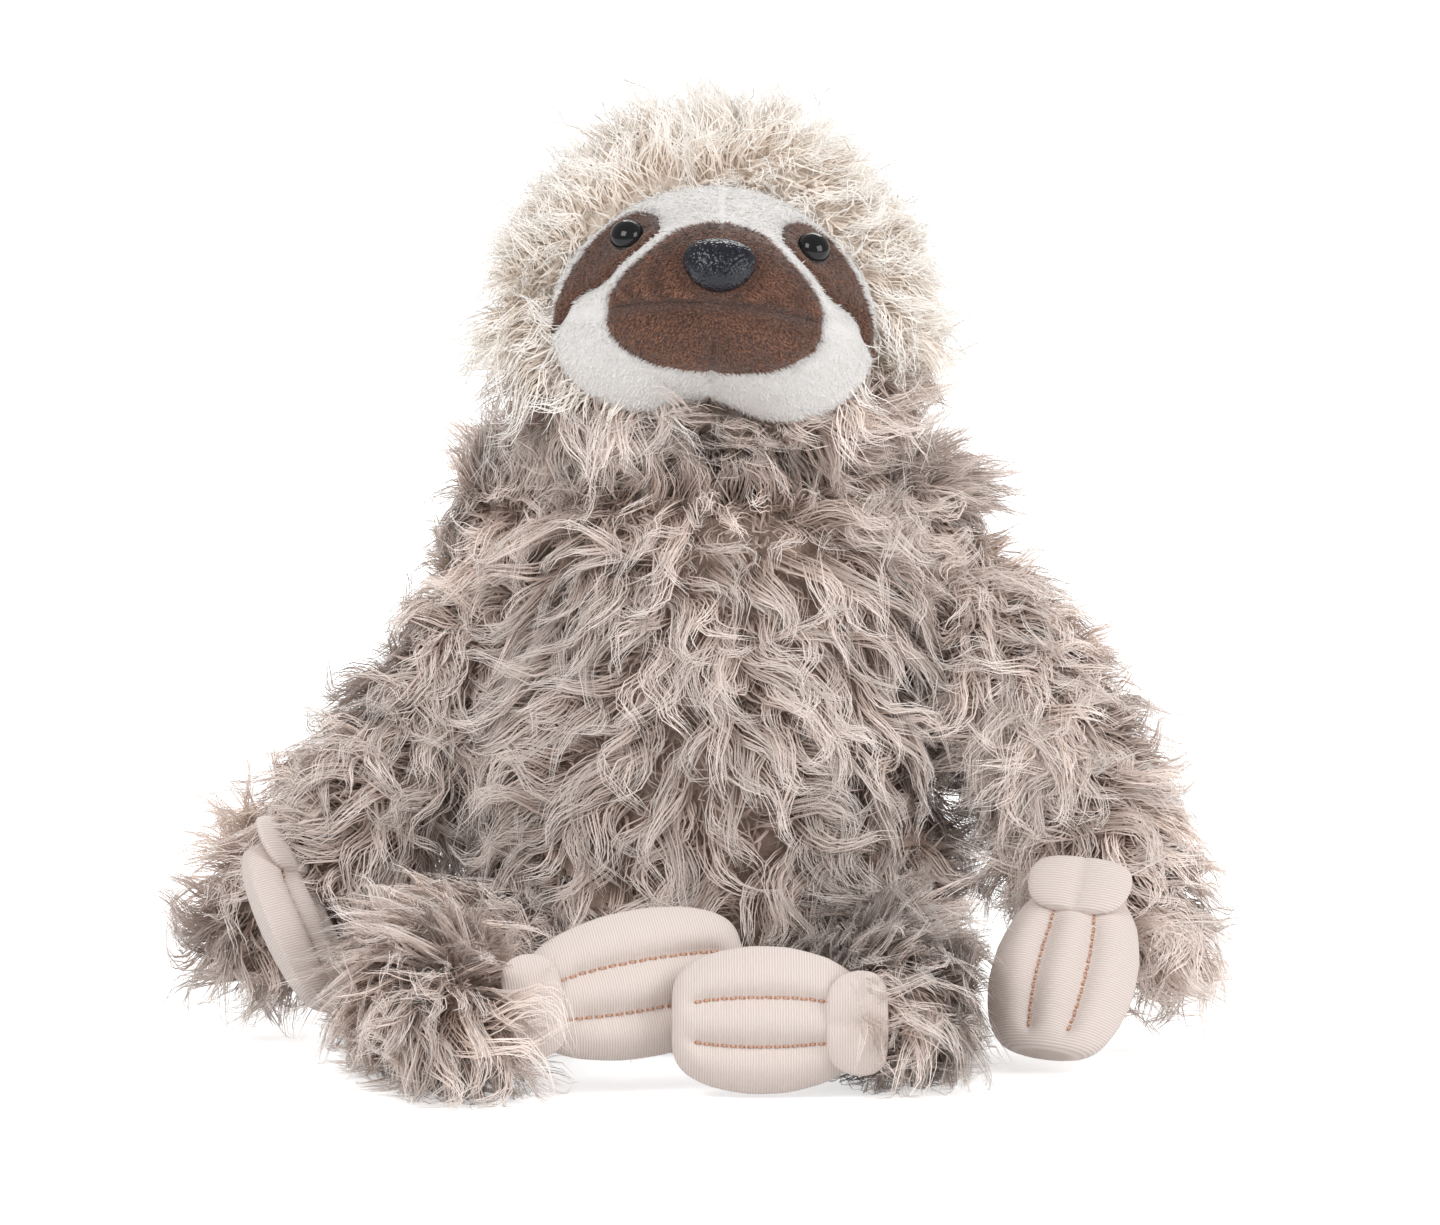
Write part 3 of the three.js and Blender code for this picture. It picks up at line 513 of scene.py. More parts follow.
# %% A piece of fur
def fur_piece(name, points, normals, nap, length, fibres, tone, material, seed, width=0.33 * MM,
              spread=4.0 * MM, frizz=0.3 * MM, steps=FIBRE_STEPS, top=1.0, **shape):
    """Locks of fur at the given roots as one mesh."""
    rng = np.random.default_rng(seed)
    path, across = lock_paths(points, normals, nap, length, rng, **shape)
    path, keep = trimmed(path)
    path, across, normals, tone = path[keep], across[keep], normals[keep], tone[keep]
    fibre = lock_fibres(path, normals, across, fibres, spread, frizz, rng, steps)
    count = len(path) * fibres
    fibre = fibre.reshape(count, steps + 1, 3)
    facing = unit(np.repeat(normals, fibres, 0) + rng.normal(0, 0.3, (count, 3)))
    wide = width * rng.uniform(0.6, 1.35, count)
    tones = np.repeat(tone, fibres) + rng.normal(0, 0.13, count)
    piece = ribbon_mesh(name, fibre, facing, wide, np.clip(tones, 0, 0.999), material, top)
    print(name, len(path), "locks", len(piece.data.polygons) * 2, "triangles")
    return piece


# %% [markdown]
# The fur is darker at the root as painted shade, where little light reaches, and palest at the tip as
# painted highlight. One ramp from root to tip holds both, and the lock's tone scales it. The head's fur is a
# paler cream than the body's.


# %% Fur materials
def fur_material(name, root, middle_colour, tip, dark=0.62, light=1.28):
    """Colour from a root of painted shade to a tip of painted highlight along the map, paler or darker with
    the lock's tone.
    """
    material = new_material(name, middle_colour, 0.62, Specular_IOR_Level=0.35, Sheen_Weight=0.4,
                            Sheen_Roughness=0.5)
    tree = material.node_tree
    uv = add_node(tree, "ShaderNodeUVMap", uv_map="OFBake")
    parts = add_node(tree, "ShaderNodeSeparateXYZ")
    # The ramp's root colour is painted shade and its tip colour is painted highlight.
    ramp = colour_ramp(tree, (0, root), (0.42, middle_colour), (0.9, tip))
    toned = add_node(tree, "ShaderNodeGroup", {"Dark": dark, "Light": light}, node_tree=lock_tone)
    wire(tree, (uv.outputs["UV"], parts.inputs[0]), (parts.outputs["Y"], ramp.inputs["Fac"]),
         (parts.outputs["X"], toned.inputs["Tone"]), (ramp.outputs["Color"], toned.inputs["Color"]),
         (toned.outputs["Color"], shader_of(material).inputs["Base Color"]))
    return material


body_fur = fur_material("body_fur", srgb(156, 131, 116), srgb(219, 200, 189), srgb(247, 236, 229))
head_fur = fur_material("head_fur", srgb(238, 220, 203), srgb(252, 243, 233), srgb(255, 252, 248),
                        dark=0.84, light=1.1)
print("fur", body_fur.name, head_fur.name)

# %% [markdown]
# Where the locks part, the cloth they are tied into shows. It is plain and woven, and coloured a little
# darker than the fur as painted shade for the gaps between the locks. Its threads are too fine to model, so
# a grain darkens it in specks and raises it in a bump.


# %% Cloth materials
def grained(material, scale, detail, depth, *stops):
    """Wires a fine grain to a material's colour, through a ramp of stops, and to a bump."""
    tree, shader = material.node_tree, shader_of(material)
    grain = grain_node(tree, scale, detail)
    ramp = colour_ramp(tree, *stops)
    bump = add_node(tree, "ShaderNodeBump", {"Distance": depth})
    wire(tree, (grain.outputs["Grain"], ramp.inputs["Fac"]),
         (ramp.outputs["Color"], shader.inputs["Base Color"]),
         (grain.outputs["Grain"], bump.inputs["Height"]), (bump.outputs["Normal"], shader.inputs["Normal"]))
    return material


def cloth_material(name, colour, scale=900.0):
    """Plain woven cloth."""
    material = new_material(name, colour, 0.95, Specular_IOR_Level=0.1)
    return grained(material, scale, 2.0, 0.4 * MM, (0, [c * 0.6 for c in colour]), (1, colour))


# The backing's colour is the fur's shaded colour: painted shade in the gaps.
backing_cloth = cloth_material("backing_cloth", srgb(176, 154, 141))
head_backing = cloth_material("head_backing", srgb(236, 222, 208))
print("cloth", backing_cloth.name, head_backing.name)

# %% [markdown]
# Each limb is a stuffed sleeve of the same long fur, so a line through the limb, from its joint to its
# claws, gives both its form and the way its fur runs. The points of the lines are in millimetres.

# %% Lines through the limbs
LIMB_LINES = {
    "left_arm": [(50, 6, 141), (89, -14, 90), (126, -40, 17)],
    "right_arm": [(-50, 6, 141), (-77, -2, 84), (-138, -21, 20)],
    "left_leg": [(38, -28, 34), (50, -78, 25), (51, -137, 25)],
    "right_leg": [(-38, -28, 34), (-80, -72, 25), (-68, -156, 25)],
}


def along_line(points, line):
    """A line's direction where it is nearest to each point, how far on that is, and its length."""
    line = np.array(line) * MM
    best = np.full(len(points), 1e9)
    way, done = np.zeros_like(points), np.zeros(len(points))
    run = 0.0
    for start, end in zip(line[:-1], line[1:]):
        span = end - start
        length = np.linalg.norm(span)
        share = np.clip((points - start) @ span / length ** 2, 0, 1)
        gap = np.linalg.norm(points - start - share[:, None] * span, axis=1)
        near = gap < best
        best[near], way[near], done[near] = gap[near], span / length, run + share[near] * length
        run += length
    return way, done, run


def spline_loop(points, count, closed):
    """A smooth line through points, by Catmull-Rom."""
    points = np.array(points, float)
    ends = [points[-1:], points[:2]] if closed else [points[:1], points[-1:]]
    line = np.concatenate([ends[0], points, ends[1]])
    rows = []
    for k in range(1, len(line) - 2):
        t = np.linspace(0, 1, count, endpoint=False)[:, None]
        p0, p1, p2, p3 = line[k - 1:k + 3]
        rows.append(0.5 * (2 * p1 + (p2 - p0) * t + (2 * p0 - 5 * p1 + 4 * p2 - p3) * t ** 2
                           + (3 * p1 - p0 - 3 * p2 + p3) * t ** 3))
    if not closed:
        rows.append(line[-2:-1])
    return np.concatenate(rows)


for limb, line in LIMB_LINES.items():
    print(limb, round(along_line(np.zeros((1, 3)), line)[2] / MM), "mm long")


# %% [markdown]
# The sleeve under a limb's fur could be a swept tube, but a tube has open ends to close. A sphere drawn out
# along the line is closed from the start, and its rings become the limb's sections. The ball of the joint
# is a second sphere, which the remesh melts into the first.

# %% The form of a limb
SLEEVE_CUTS = 48
# The sleeve's radius in millimetres, its swell along the limb, and the radius of the joint's ball.
LIMB_SIZES = {"arm": (24, (0.96, 0.98, 1, 1, 0.98, 0.92), 25),
              "leg": (21, (1, 1.03, 1.05, 1.04, 1, 0.95), 23)}


def share_at(shares, along):
    """A value between evenly spaced ones, from 0 to 1 along them."""
    return np.interp(along, np.linspace(0, 1, len(shares)), shares)


def limb_form(bm, line, radius, shares, ball, depth):
    """A sphere drawn along a limb's line, with the ball of its joint, both under the fur by its depth."""
    bend = spline_loop(line, 16, False) * MM
    steps = np.linalg.norm(np.diff(bend, axis=0), axis=1)
    run = np.concatenate([[0], np.cumsum(steps)]) / steps.sum()

    def place_at(reach):
        return np.stack([np.interp(reach, run, bend[:, k]) for k in range(3)], 1)

    bmesh.ops.create_uvsphere(bm, u_segments=SLEEVE_CUTS, v_segments=SLEEVE_CUTS, radius=1)
    round_form = np.array([corner.co[:] for corner in bm.verts])
    along = np.clip((1 - round_form[:, 2]) / 2, 0, 1)
    reach = along * (1 - depth / steps.sum())
    centre = place_at(reach)
    way = unit(place_at(np.minimum(reach + 0.02, 1)) - place_at(np.maximum(reach - 0.02, 0)))
    level = unit(np.array([0, 0, 1.0]) - way * way[:, 2:3])
    wide = np.cross(way, level)
    ring = np.hypot(round_form[:, 0], round_form[:, 1])
    swell = np.sqrt(ring) / np.maximum(ring, 1e-9)
    size = (share_at(shares, along) * radius * MM - depth) * swell
    places = centre + level * (round_form[:, 0] * size)[:, None] + wide * (round_form[:, 1] * size)[:, None]
    for corner, place in zip(bm.verts, places):
        corner.co = place
    joint = Matrix.Translation(Vector(line[0]) * MM) @ Matrix.Diagonal((ball * MM - depth,) * 3 + (1,))
    bmesh.ops.create_icosphere(bm, subdivisions=4, radius=1, matrix=joint)


# %% [markdown]
# The backing cloth is the bag that holds the filling. The furry solids reach to the middle of the pile, so
# the cloth lies under their skin by the fur's depth: the torso's and the head's are their solids drawn in,
# and a limb's is its sleeve.

# %% Backing cloths
FUR_DEPTH, HEAD_FUR_DEPTH = 8 * MM, 7 * MM
BACKING_VOXEL = 2.5 * MM


def backing(name, nodes, depth, body, form=None, cloth=backing_cloth):
    """The cloth under the fur, which stands for the furry nodes."""
    mesh = remeshed(name, form or merged_copy(*nodes), BACKING_VOXEL, 6)
    if form is None:
        shrink(mesh, depth)
    clothed(mesh, cloth)
    piece = link(bpy.data.objects.new(name, mesh))
    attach(piece, body)
    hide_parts(*nodes)
    print(name, len(mesh.polygons), "faces")
    return piece


torso_cloth = backing("torso_cloth", ["torso"], FUR_DEPTH, "torso")
limb_cloths = {}
for limb, line in LIMB_LINES.items():
    bm = bmesh.new()
    radius, shares, ball = LIMB_SIZES[limb.split("_")[1]]
    limb_form(bm, line, radius, shares, ball, FUR_DEPTH)
    limb_cloths[limb] = backing(limb + "_cloth", [limb], FUR_DEPTH, limb, form=bm)
head_cloth = backing("head_cloth", ["fur_hood", "head_stuffing"], HEAD_FUR_DEPTH, "head", cloth=head_backing)

# %% [markdown]
# Fur must not lie over the claws or the face. Each lock is followed from its root, and where it would enter
# one of these places it is cut short, as a maker trims the pile round a seam.

# %% Where the claws are
# Each mitt's root and tip in millimetres, and its way across the channels.
MITTS = {
    "left_hand": ((103, -60, 48), (92, -92, 6), (0.9695, -0.2331, -0.0763)),
    "right_hand": ((-127, -29, 55), (-107, -48, 13), (0.3748, 0.8986, -0.228)),
    "left_foot": ((42, -133, 22), (-12, -134, 22), (0, 0, -1)),
    "right_foot": ((-54, -132, 26), (8, -117, 35), (-0.1437, 0, 0.9896)),
}
# How far the limb's fur may reach over the root of each mitt, and how far it is held off in front of it.
FUR_OVER = {"left_hand": 4 * MM, "right_hand": 16 * MM, "left_foot": 4 * MM, "right_foot": 13 * MM}
CLEAR_BEFORE = {"left_hand": 20 * MM, "right_hand": 10 * MM, "left_foot": 20 * MM, "right_foot": 20 * MM}
CLEAR_BEHIND, CLEAR_ASIDE = 9 * MM, 18 * MM


def mitt_axes(name):
    """A mitt's root and tip, and its ways across and out of the palm."""
    start, tip, side = (np.array(values, float) for values in MITTS[name])
    along = unit(tip - start)
    side = unit(side - along * (side @ along))
    return start * MM, tip * MM, side, np.cross(along, side)


def on_claws(points, name):
    """Whether places are over a mitt, past the part that the fur may cover."""
    start, tip, side, palm = mitt_axes(name)
    way = unit(tip - start)
    along, across, over = (points - start) @ way, (points - start) @ side, (points - start) @ palm
    inside = (np.abs(across) < CLEAR_ASIDE) & (over > -CLEAR_BEHIND) & (over < CLEAR_BEFORE[name])
    return inside & (along > FUR_OVER[name]) & (along < np.linalg.norm(tip - start) + 1 * MM)


for name in MITTS:
    start, tip, _, _ = mitt_axes(name)
    print(name, "claws", round(np.linalg.norm(tip - start) / MM), "mm long")

# %% [markdown]
# The head is tipped back and a little to one side. Its own axes make the face easy to describe: X to the
# toy's left, -Y straight out of the face and Z up. The long fur ends at a slanted plane, the rim of the
# face.

# %% Where the face is
HEAD_PLACE = (Matrix.Translation((0, -8 * MM, 208 * MM)) @ Matrix.Rotation(math.radians(4), 4, "Y")
              @ Matrix.Rotation(math.radians(-22), 4, "X"))
HEAD_ARRAY = np.array(HEAD_PLACE)
HEAD_BACK = np.array(HEAD_PLACE.inverted())
RIM_MIDDLE = 32 * MM
RIM_SLOPE = math.atan2(20, 76)
FACE_REACH, FACE_LOW = 75 * MM, 37 * MM


def moved(points, matrix):
    return points @ matrix[:3, :3].T + matrix[:3, 3]


def behind_rim(local):
    """How far a place on the head is behind the slanted plane where the long fur ends."""
    return (local[..., 1] + RIM_MIDDLE) * math.cos(RIM_SLOPE) + local[..., 2] * math.sin(RIM_SLOPE)


def on_face(points):
    """Whether places are in front of the rim of the face."""
    local = moved(points, HEAD_BACK)
    far = np.linalg.norm(local, axis=-1)
    before = (behind_rim(local) < -2.5 * MM) & (local[..., 1] < 0)
    return before & (far < FACE_REACH) & (local[..., 2] > -FACE_LOW)


# %% Trimming the locks
TRIM_EARLY = 4 * MM
SHORTEST_LOCK = 0.28


def trimmed(path):
    """Cuts locks short where they leave their room. Returns the paths, and which are long enough to keep."""
    flat = path.reshape(-1, 3)
    bad = on_face(flat) | (flat < ROOM[0] + TRIM_EARLY).any(1) | (flat > ROOM[1] - TRIM_EARLY).any(1)
    for name in MITTS:
        bad |= on_claws(flat, name)
    bad = bad.reshape(path.shape[:2])
    first = np.where(bad.any(1), bad.argmax(1), path.shape[1])
    limit = np.minimum((first - 1) / (path.shape[1] - 1), 1)
    share = np.linspace(0, 1, path.shape[1])[None, None] * np.maximum(limit, 0.01)[:, None, None]
    return read_path(path, share)[:, 0], limit > SHORTEST_LOCK


# %% [markdown]
# A rule for the nap, one for the length and one for where the roots lie describe the fur of a whole piece.
# Random roots on the skin then grow one lock each, and neighbours share their tone. Short dense wool fills
# the gaps between locks, as the under-coat of real pile does, and hides the cloth.


# %% Growing fur on a skin
def value_of(rule, points):
    """A rule is a number for all roots alike, or a function of their places."""
    return rule(points) if callable(rule) else rule


def grow_fur(name, body, slot, skin, count, nap, length, seed, fibres, keep, material=body_fur, parts=1,
             paler=0.0, **shape):
    """Scatters lock roots on a skin and grows them, in as many pieces as the triangle limit needs."""
    rng = np.random.default_rng(seed)
    points, normals = scatter(skin, count, rng, keep)
    flow = nap(points)
    reach = value_of(length, points) * rng.uniform(0.75, 1.2, len(points))
    patch = swirl(points, 16 * MM, seed + 1)[:, 0]
    # The shift 'paler' is painted light on the neck, the chin and the head's sides, and painted light and
    # shade on the limbs.
    tone = 0.5 + 0.16 * patch + rng.normal(0, 0.15, len(points)) + value_of(paler, points)
    tone = np.clip(tone, 0.02, 0.98)
    for part in range(parts):
        mine = slice(part, None, parts)
        label = name if parts == 1 else f"{name}_{part + 1}"
        piece = fur_piece(label, points[mine], normals[mine], flow[mine], reach[mine], fibres, tone[mine],
                          material, seed + 10 + part, **shape)
        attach(piece, body)


def grow_underfur(name, body, skin, count, nap, seed, keep, material=body_fur):
    """The short dense wool between the locks, which hides the cloth."""
    rng = np.random.default_rng(seed)
    points, normals = scatter(skin, count, rng, keep)
    flow = nap(points) + 0.5 * rng.normal(0, 1, points.shape)
    length = rng.uniform(10, 17, len(points)) * MM
    tone = np.clip(0.5 + rng.normal(0, 0.16, len(points)), 0.02, 0.98)
    # top=0.45 keeps the wool in the ramp's darker colours, painted shade for the under-coat.
    piece = fur_piece(name, points, normals, flow, length, 1, tone, material, seed, width=1.0 * MM,
                      spread=1 * MM, steps=3, top=0.45, rise=46, lay=12, sway=60)
    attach(piece, body)


# %% [markdown]
# The torso's nap runs down and outward. A slow swirl in the nap keeps the locks from lying in combed rows.
# The locks get shorter near the floor, where the toy sits on them.


# %% Torso fur
def torso_nap(points):
    down = np.array([0, -0.25, -1.0])
    outward = points * np.array([1, 1, 0]) / (50 * MM)
    return down + 0.35 * outward + 0.75 * swirl(points, 26 * MM, 3)


def torso_length(points):
    low = np.clip(1 - points[:, 2] / (60 * MM), 0, 1)
    return (38 - 10 * low) * MM


def torso_keep(points, normals):
    """All but the underside and the bowl that the head sits in."""
    toward_head = unit(HEAD_ARRAY[:3, 3] - points)
    return (points[:, 2] > 9 * MM) & ((normals * toward_head).sum(1) < 0.9)


grow_fur("torso_fur", "torso", "long_fur", torso_cloth.data, 2500, torso_nap, torso_length, 11, 17,
         torso_keep, parts=3, paler=-0.06, sway=50, curl=0.11)
grow_underfur("torso_wool", "torso", torso_cloth.data, 10000, torso_nap, 12, torso_keep)

# %% [markdown]
# A limb's fur runs down from the joint and gets longer toward the claws. Near them it lies over their root
# on one side and fans out over the floor on the other. The joint inside the torso stays bare.

# %% Limb fur
CLAWS_OF = {"left_arm": "left_hand", "right_arm": "right_hand",
            "left_leg": "left_foot", "right_leg": "right_foot"}
# How many roots are scattered on a limb, and what is added to the tone of its locks: painted light and
# shade, with each limb paler or darker as the light falls on it.
LIMB_LOCKS = {"arm": 950, "leg": 900}
LIMB_PAINTED_LIGHT = {"left_arm": 0.1, "right_arm": 0, "left_leg": -0.28, "right_leg": 0.14}


def limb_rules(limb, line, index):
    """How the fur of a limb lies, how long it is and where it is rooted."""
    outer = np.sign(line[0][0])
    start, tip, _, _ = mitt_axes(CLAWS_OF[limb])
    claw_way = unit(tip - start)
    fall = np.array([0.3 * outer, -0.1, -0.45])

    def nap(points):
        way, done, run = along_line(points, line)
        end = np.clip(1 - (run - done) / (34 * MM), 0, 1)[:, None]
        toward = np.exp(-(np.linalg.norm(points - start, axis=1) / (21 * MM)) ** 2)[:, None]
        toward = np.maximum(toward, end * np.clip(1.4 - points[:, 2:] / (12 * MM), 0, 1))
        away = unit((points - start) * (1, 1, 0.15))
        flow = way + fall + 0.9 * end * (1 - toward) * away
        return flow + 0.7 * toward * claw_way + 0.6 * swirl(points, 22 * MM, 20 + index)

    def length(points):
        _, done, _ = along_line(points, line)
        return (24 + 13 * np.clip(done / (90 * MM), 0, 1)) * MM

    def keep(points, normals):
        outside = (points[:, 2] > 142 * MM) | (np.abs(points[:, 0]) > 54 * MM) | (points[:, 1] > 17 * MM)
        return (points[:, 2] > 3 * MM) & ((along_line(points, line)[1] > 8 * MM) | outside)

    return nap, length, keep


for index, (limb, line) in enumerate(LIMB_LINES.items()):
    nap, length, keep = limb_rules(limb, line, index)
    cloth, locks = limb_cloths[limb].data, LIMB_LOCKS[limb.split("_")[1]]
    grow_fur(limb + "_fur", limb, "long_fur", cloth, locks, nap, length, 40 + 7 * index, 15, keep,
             paler=LIMB_PAINTED_LIGHT[limb], sway=52, curl=0.16)
    grow_underfur(limb + "_wool", limb, cloth, 3700, nap, 41 + 7 * index, keep)

# %% [markdown]
# At the end of each limb the fur bunches up round the claws and against the body, all one way. These hems
# are grown as pieces of their own, with flatter locks. Each row below holds how far from the limb's end and
# how high the hem is rooted, between which sides, its way and its length, in millimetres.

# %% Fur round the claws
HEMS = {
    "right_leg": (34, 28, (-200, 200), (0.9, -0.55, -0.5), 46),
    "left_leg": (34, 28, (-200, 200), (-0.1, -0.9, -0.5), 36),
    "left_arm": (105, 112, (-200, 102), (-0.9, -0.3, -0.6), 36),
    "right_arm": (34, 40, (-126, 200), (0.1, -0.7, -0.6), 34),
}


def hem_rules(line, span, highest, sides, hem_way):
    """How a hem lies and where it is rooted."""
    def nap(points):
        return np.array(hem_way) + 0.45 * swirl(points, 14 * MM, 35)

    def keep(points, normals):
        _, done, run = along_line(points, line)
        low = (points[:, 2] < highest * MM) & (points[:, 2] > 2 * MM) & (done > run - span * MM)
        return low & (points[:, 0] > sides[0] * MM) & (points[:, 0] < sides[1] * MM)

    return nap, keep


for index, (limb, (span, highest, sides, hem_way, reach)) in enumerate(HEMS.items()):
    nap, keep = hem_rules(LIMB_LINES[limb], span, highest, sides, hem_way)
    grow_fur(limb + "_hem", limb, "long_fur", limb_cloths[limb].data, 1000, nap, reach * MM, 90 + index, 13,
             keep, sway=48, rise=30, lay=4, curl=0.14)

# %% [markdown]
# Between the head, the shoulders and the chest the fur stands up in a collar and hides the joints. The
# neck's locks are rooted on the rim of the bowl under the head and fall over the chest. The collar's are
# rooted on the shoulders but belong to the torso, so that a raised arm slides under them.


# %% Collar and neck fur
def neck_nap(points):
    """Forward and down over the chest, under the chin."""
    return points * (0.5, 1, 0) / (45 * MM) + np.array([0, -0.5, -0.35]) + 0.5 * swirl(points, 16 * MM, 32)


def neck_keep(points, normals):
    """The rim of the bowl that the head sits in."""
    return (points[:, 2] > 145 * MM) & (np.hypot(points[:, 0], points[:, 1] + 8 * MM) > 18 * MM)


def collar_nap(points):
    """Up between the shoulders and the cheeks."""
    return points * (1, 1, 0) / (110 * MM) + np.array([0, -0.15, 0.8]) + 0.4 * swirl(points, 18 * MM, 31)


def collar_keep(points, normals):
    return (points[:, 2] > 148 * MM) & (np.abs(points[:, 0]) > 22 * MM)


# The neck's locks are toned paler as painted light, against the shade between the chin and the chest.
grow_fur("neck_fur", "torso", "long_fur", torso_cloth.data, 3600, neck_nap, 30 * MM, 63, 13, neck_keep,
         paler=0.28, sway=50, curl=0.12, rise=84, lay=30)
for side in ("left", "right"):
    shoulder = limb_cloths[side + "_arm"].data
    grow_fur(side + "_collar_fur", "torso", "long_fur", shoulder, 2400, collar_nap, 28 * MM, 60, 13,
             collar_keep, sway=44, curl=0.12, rise=70, lay=26)

# %% [markdown]
# The head's fur is paler and finer. It stands up off the rim of the face all round, like a mane, and lies
# back over the crown. Long single wisps break its outline, and its sides are toned paler as painted light.
# Under the chin and the cheeks it has the body's colours, toned a little paler as painted light against the
# shade there, and hangs down to meet the collar.


# %% Rules for the head fur
def head_nap(points):
    back = HEAD_ARRAY[:3, 1]
    return back[None] * 0.9 + np.array([0, 0, -0.45]) + 0.5 * swirl(points, 22 * MM, 5)


def head_length(points):
    """Longer at the back and low down, shorter at the upper sides."""
    local = moved(points, HEAD_BACK)
    behind = np.clip(behind_rim(local) / (14 * MM), 0, 1)
    aside = np.clip((np.abs(local[:, 0]) / MM - 14) / 26, 0, 1)
    aside = aside * np.clip(local[:, 2] / (20 * MM) + 0.4, 0, 1)
    chin = np.clip(-local[:, 2] / (30 * MM), 0, 1)
    return (17 + 8 * behind + 10 * chin) * (1 - 0.42 * aside) * MM


def wisp_length(points):
    return head_length(points) * 1.5


def head_keep(points, normals):
    return (behind_rim(moved(points, HEAD_BACK)) > 1 * MM) & (points[:, 2] > 190 * MM)


def head_sides_painted_light(points):
    """Paler at the sides: painted light on sides that the lamps leave in shade."""
    return 0.4 * np.clip(np.abs(points[:, 0]) / (40 * MM), 0, 1)


def chin_nap(points):
    """Down and outward from under the chin and the cheeks."""
    return points * (0.5, 1, 0) / (40 * MM) + np.array([0, -0.3, -0.9]) + 0.7 * swirl(points, 18 * MM, 6)


def chin_keep(points, normals):
    local = moved(points, HEAD_BACK)
    return (behind_rim(local) > 0.5 * MM) & (points[:, 2] < 194 * MM) & (points[:, 2] > 156 * MM)


# %% Head fur
head_skin = head_cloth.data
grow_fur("head_fur", "head", "head_fur", head_skin, 1500, head_nap, head_length, 71, 13, head_keep, head_fur,
         parts=2, paler=head_sides_painted_light, sway=48, rise=74, lay=20, curl=0.14, spread=4.4 * MM, frizz=0.7 * MM)
grow_fur("head_wisps", "head", "head_fur", head_skin, 420, head_nap, wisp_length, 78, 5, head_keep, head_fur,
         sway=60, rise=70, lay=16, curl=0.3, spread=3 * MM, frizz=1.2 * MM)
# The chin's locks are toned paler as painted light, against the shade under the chin.
grow_fur("chin_fur", "head", "head_fur", head_skin, 1700, chin_nap, 31 * MM, 81, 13, chin_keep, paler=0.14,
         sway=52, rise=60, lay=14, curl=0.14)
grow_underfur("head_wool", "head", head_skin, 5000, head_nap, 74, head_keep, head_fur)
grow_underfur("chin_wool", "head", head_skin, 5000, chin_nap, 84, chin_keep)

# %% [markdown]
# The face is sewn from short-pile panels: a cream face, a brown muzzle in two halves with the mouth as
# their seam, and a brown patch round each eye. All follow one smooth head form. That form could be
# sculpted, but a smooth sum of four ellipsoids gives its reach in any direction: the skull, two cheeks and
# the muzzle, in millimetres.

# %% The form under the face
SKULL = (49, 44, 38)
LOBES = [((0, 0, 0), SKULL), ((21, -14, -14), (25, 25, 25)), ((-21, -14, -14), (25, 25, 25)),
         ((0, -34, -10), (30, 25, 21.5))]
BLEND = 9


def head_reach(way):
    """How far the smooth sum of filling, cheeks and muzzle reaches along unit directions, in metres."""
    total = np.zeros(len(way))
    for centre, radii in LOBES:
        step, start = way / radii, np.array(centre) / radii
        a, b, c = (step * step).sum(1), step @ start, start @ start - 1
        inside = b * b - a * c
        reach = np.where(inside > 0, (b + np.sqrt(np.maximum(inside, 0))) / a, 0)
        total += np.maximum(reach, 0) ** BLEND
    return total ** (1 / BLEND) * MM


def face_ways(spot):
    """Directions from the head's middle for flat face coordinates, angle and bearing round the front."""
    turn = np.linalg.norm(spot, axis=1)
    scale = np.sinc(turn / math.pi)
    return np.stack([spot[:, 0] * scale, -np.cos(turn), spot[:, 1] * scale], 1)


def bare_places(spot):
    """Places on the bare head form."""
    way = face_ways(spot)
    return way * head_reach(way)[:, None]


print("face", round(head_reach(np.array([[0, -1.0, 0]]))[0] / MM, 1), "mm before the head's middle")

# %% [markdown]
# The seams are outlines seen square to the face: smooth lines through a few points, as shares of a panel's
# width and height. The muzzle is symmetric, and the eye patches mirror each other. A patch runs from its
# eye down and outward, which gives a sloth its look.

# %% Outlines of the face panels
MOUTH_DROP = 17
MUZZLE_HALF, MUZZLE_UP, MUZZLE_DOWN = 30, 25, 15
MUZZLE_TOP = [(1, 0), (0.98, 0.12), (0.86, 0.35), (0.66, 0.58), (0.4, 0.86), (0.2, 0.96), (0, 1)]
MUZZLE_BOTTOM = [(1, 0), (0.98, 0.28), (0.85, 0.6), (0.6, 0.86), (0.3, 0.97), (0, 1)]
EYE_OUT, EYE_RISE, NOSE_DROP = 25, 2.8, 7.8
PATCH_WIDE, PATCH_TALL = 30, 31
EYE_PATCH = [(0.24, 0.27), (0.08, 0.33), (-0.15, 0.23), (-0.35, 0.03), (-0.51, -0.22), (-0.62, -0.48),
             (-0.66, -0.75), (-0.56, -0.67), (-0.43, -0.49), (-0.23, -0.41), (-0.08, -0.3), (0.07, -0.2),
             (0.2, -0.12), (0.27, 0.1)]


def muzzle_arc(corners, tall):
    """The outline of one half of the muzzle, from its side to its middle."""
    return spline_loop([(MUZZLE_HALF * x, tall * z - MOUTH_DROP) for x, z in corners], 6, False)


upper_arc, lower_arc = muzzle_arc(MUZZLE_TOP, MUZZLE_UP), muzzle_arc(MUZZLE_BOTTOM, -MUZZLE_DOWN)
muzzle_loop = np.concatenate([upper_arc, upper_arc[-2::-1] * (-1, 1),
                              (lower_arc * (-1, 1))[1:], lower_arc[-2:0:-1]]) * MM


def patch_loop(side):
    """The outline of the eye patch on one side."""
    corners = [(side * (EYE_OUT - x * PATCH_WIDE), EYE_RISE + z * PATCH_TALL) for x, z in EYE_PATCH]
    return spline_loop(corners, 5, True) * MM


patch_loops = {side: patch_loop(side) for side in (-1, 1)}
print("outlines", len(muzzle_loop), "and", len(patch_loops[1]), "points")


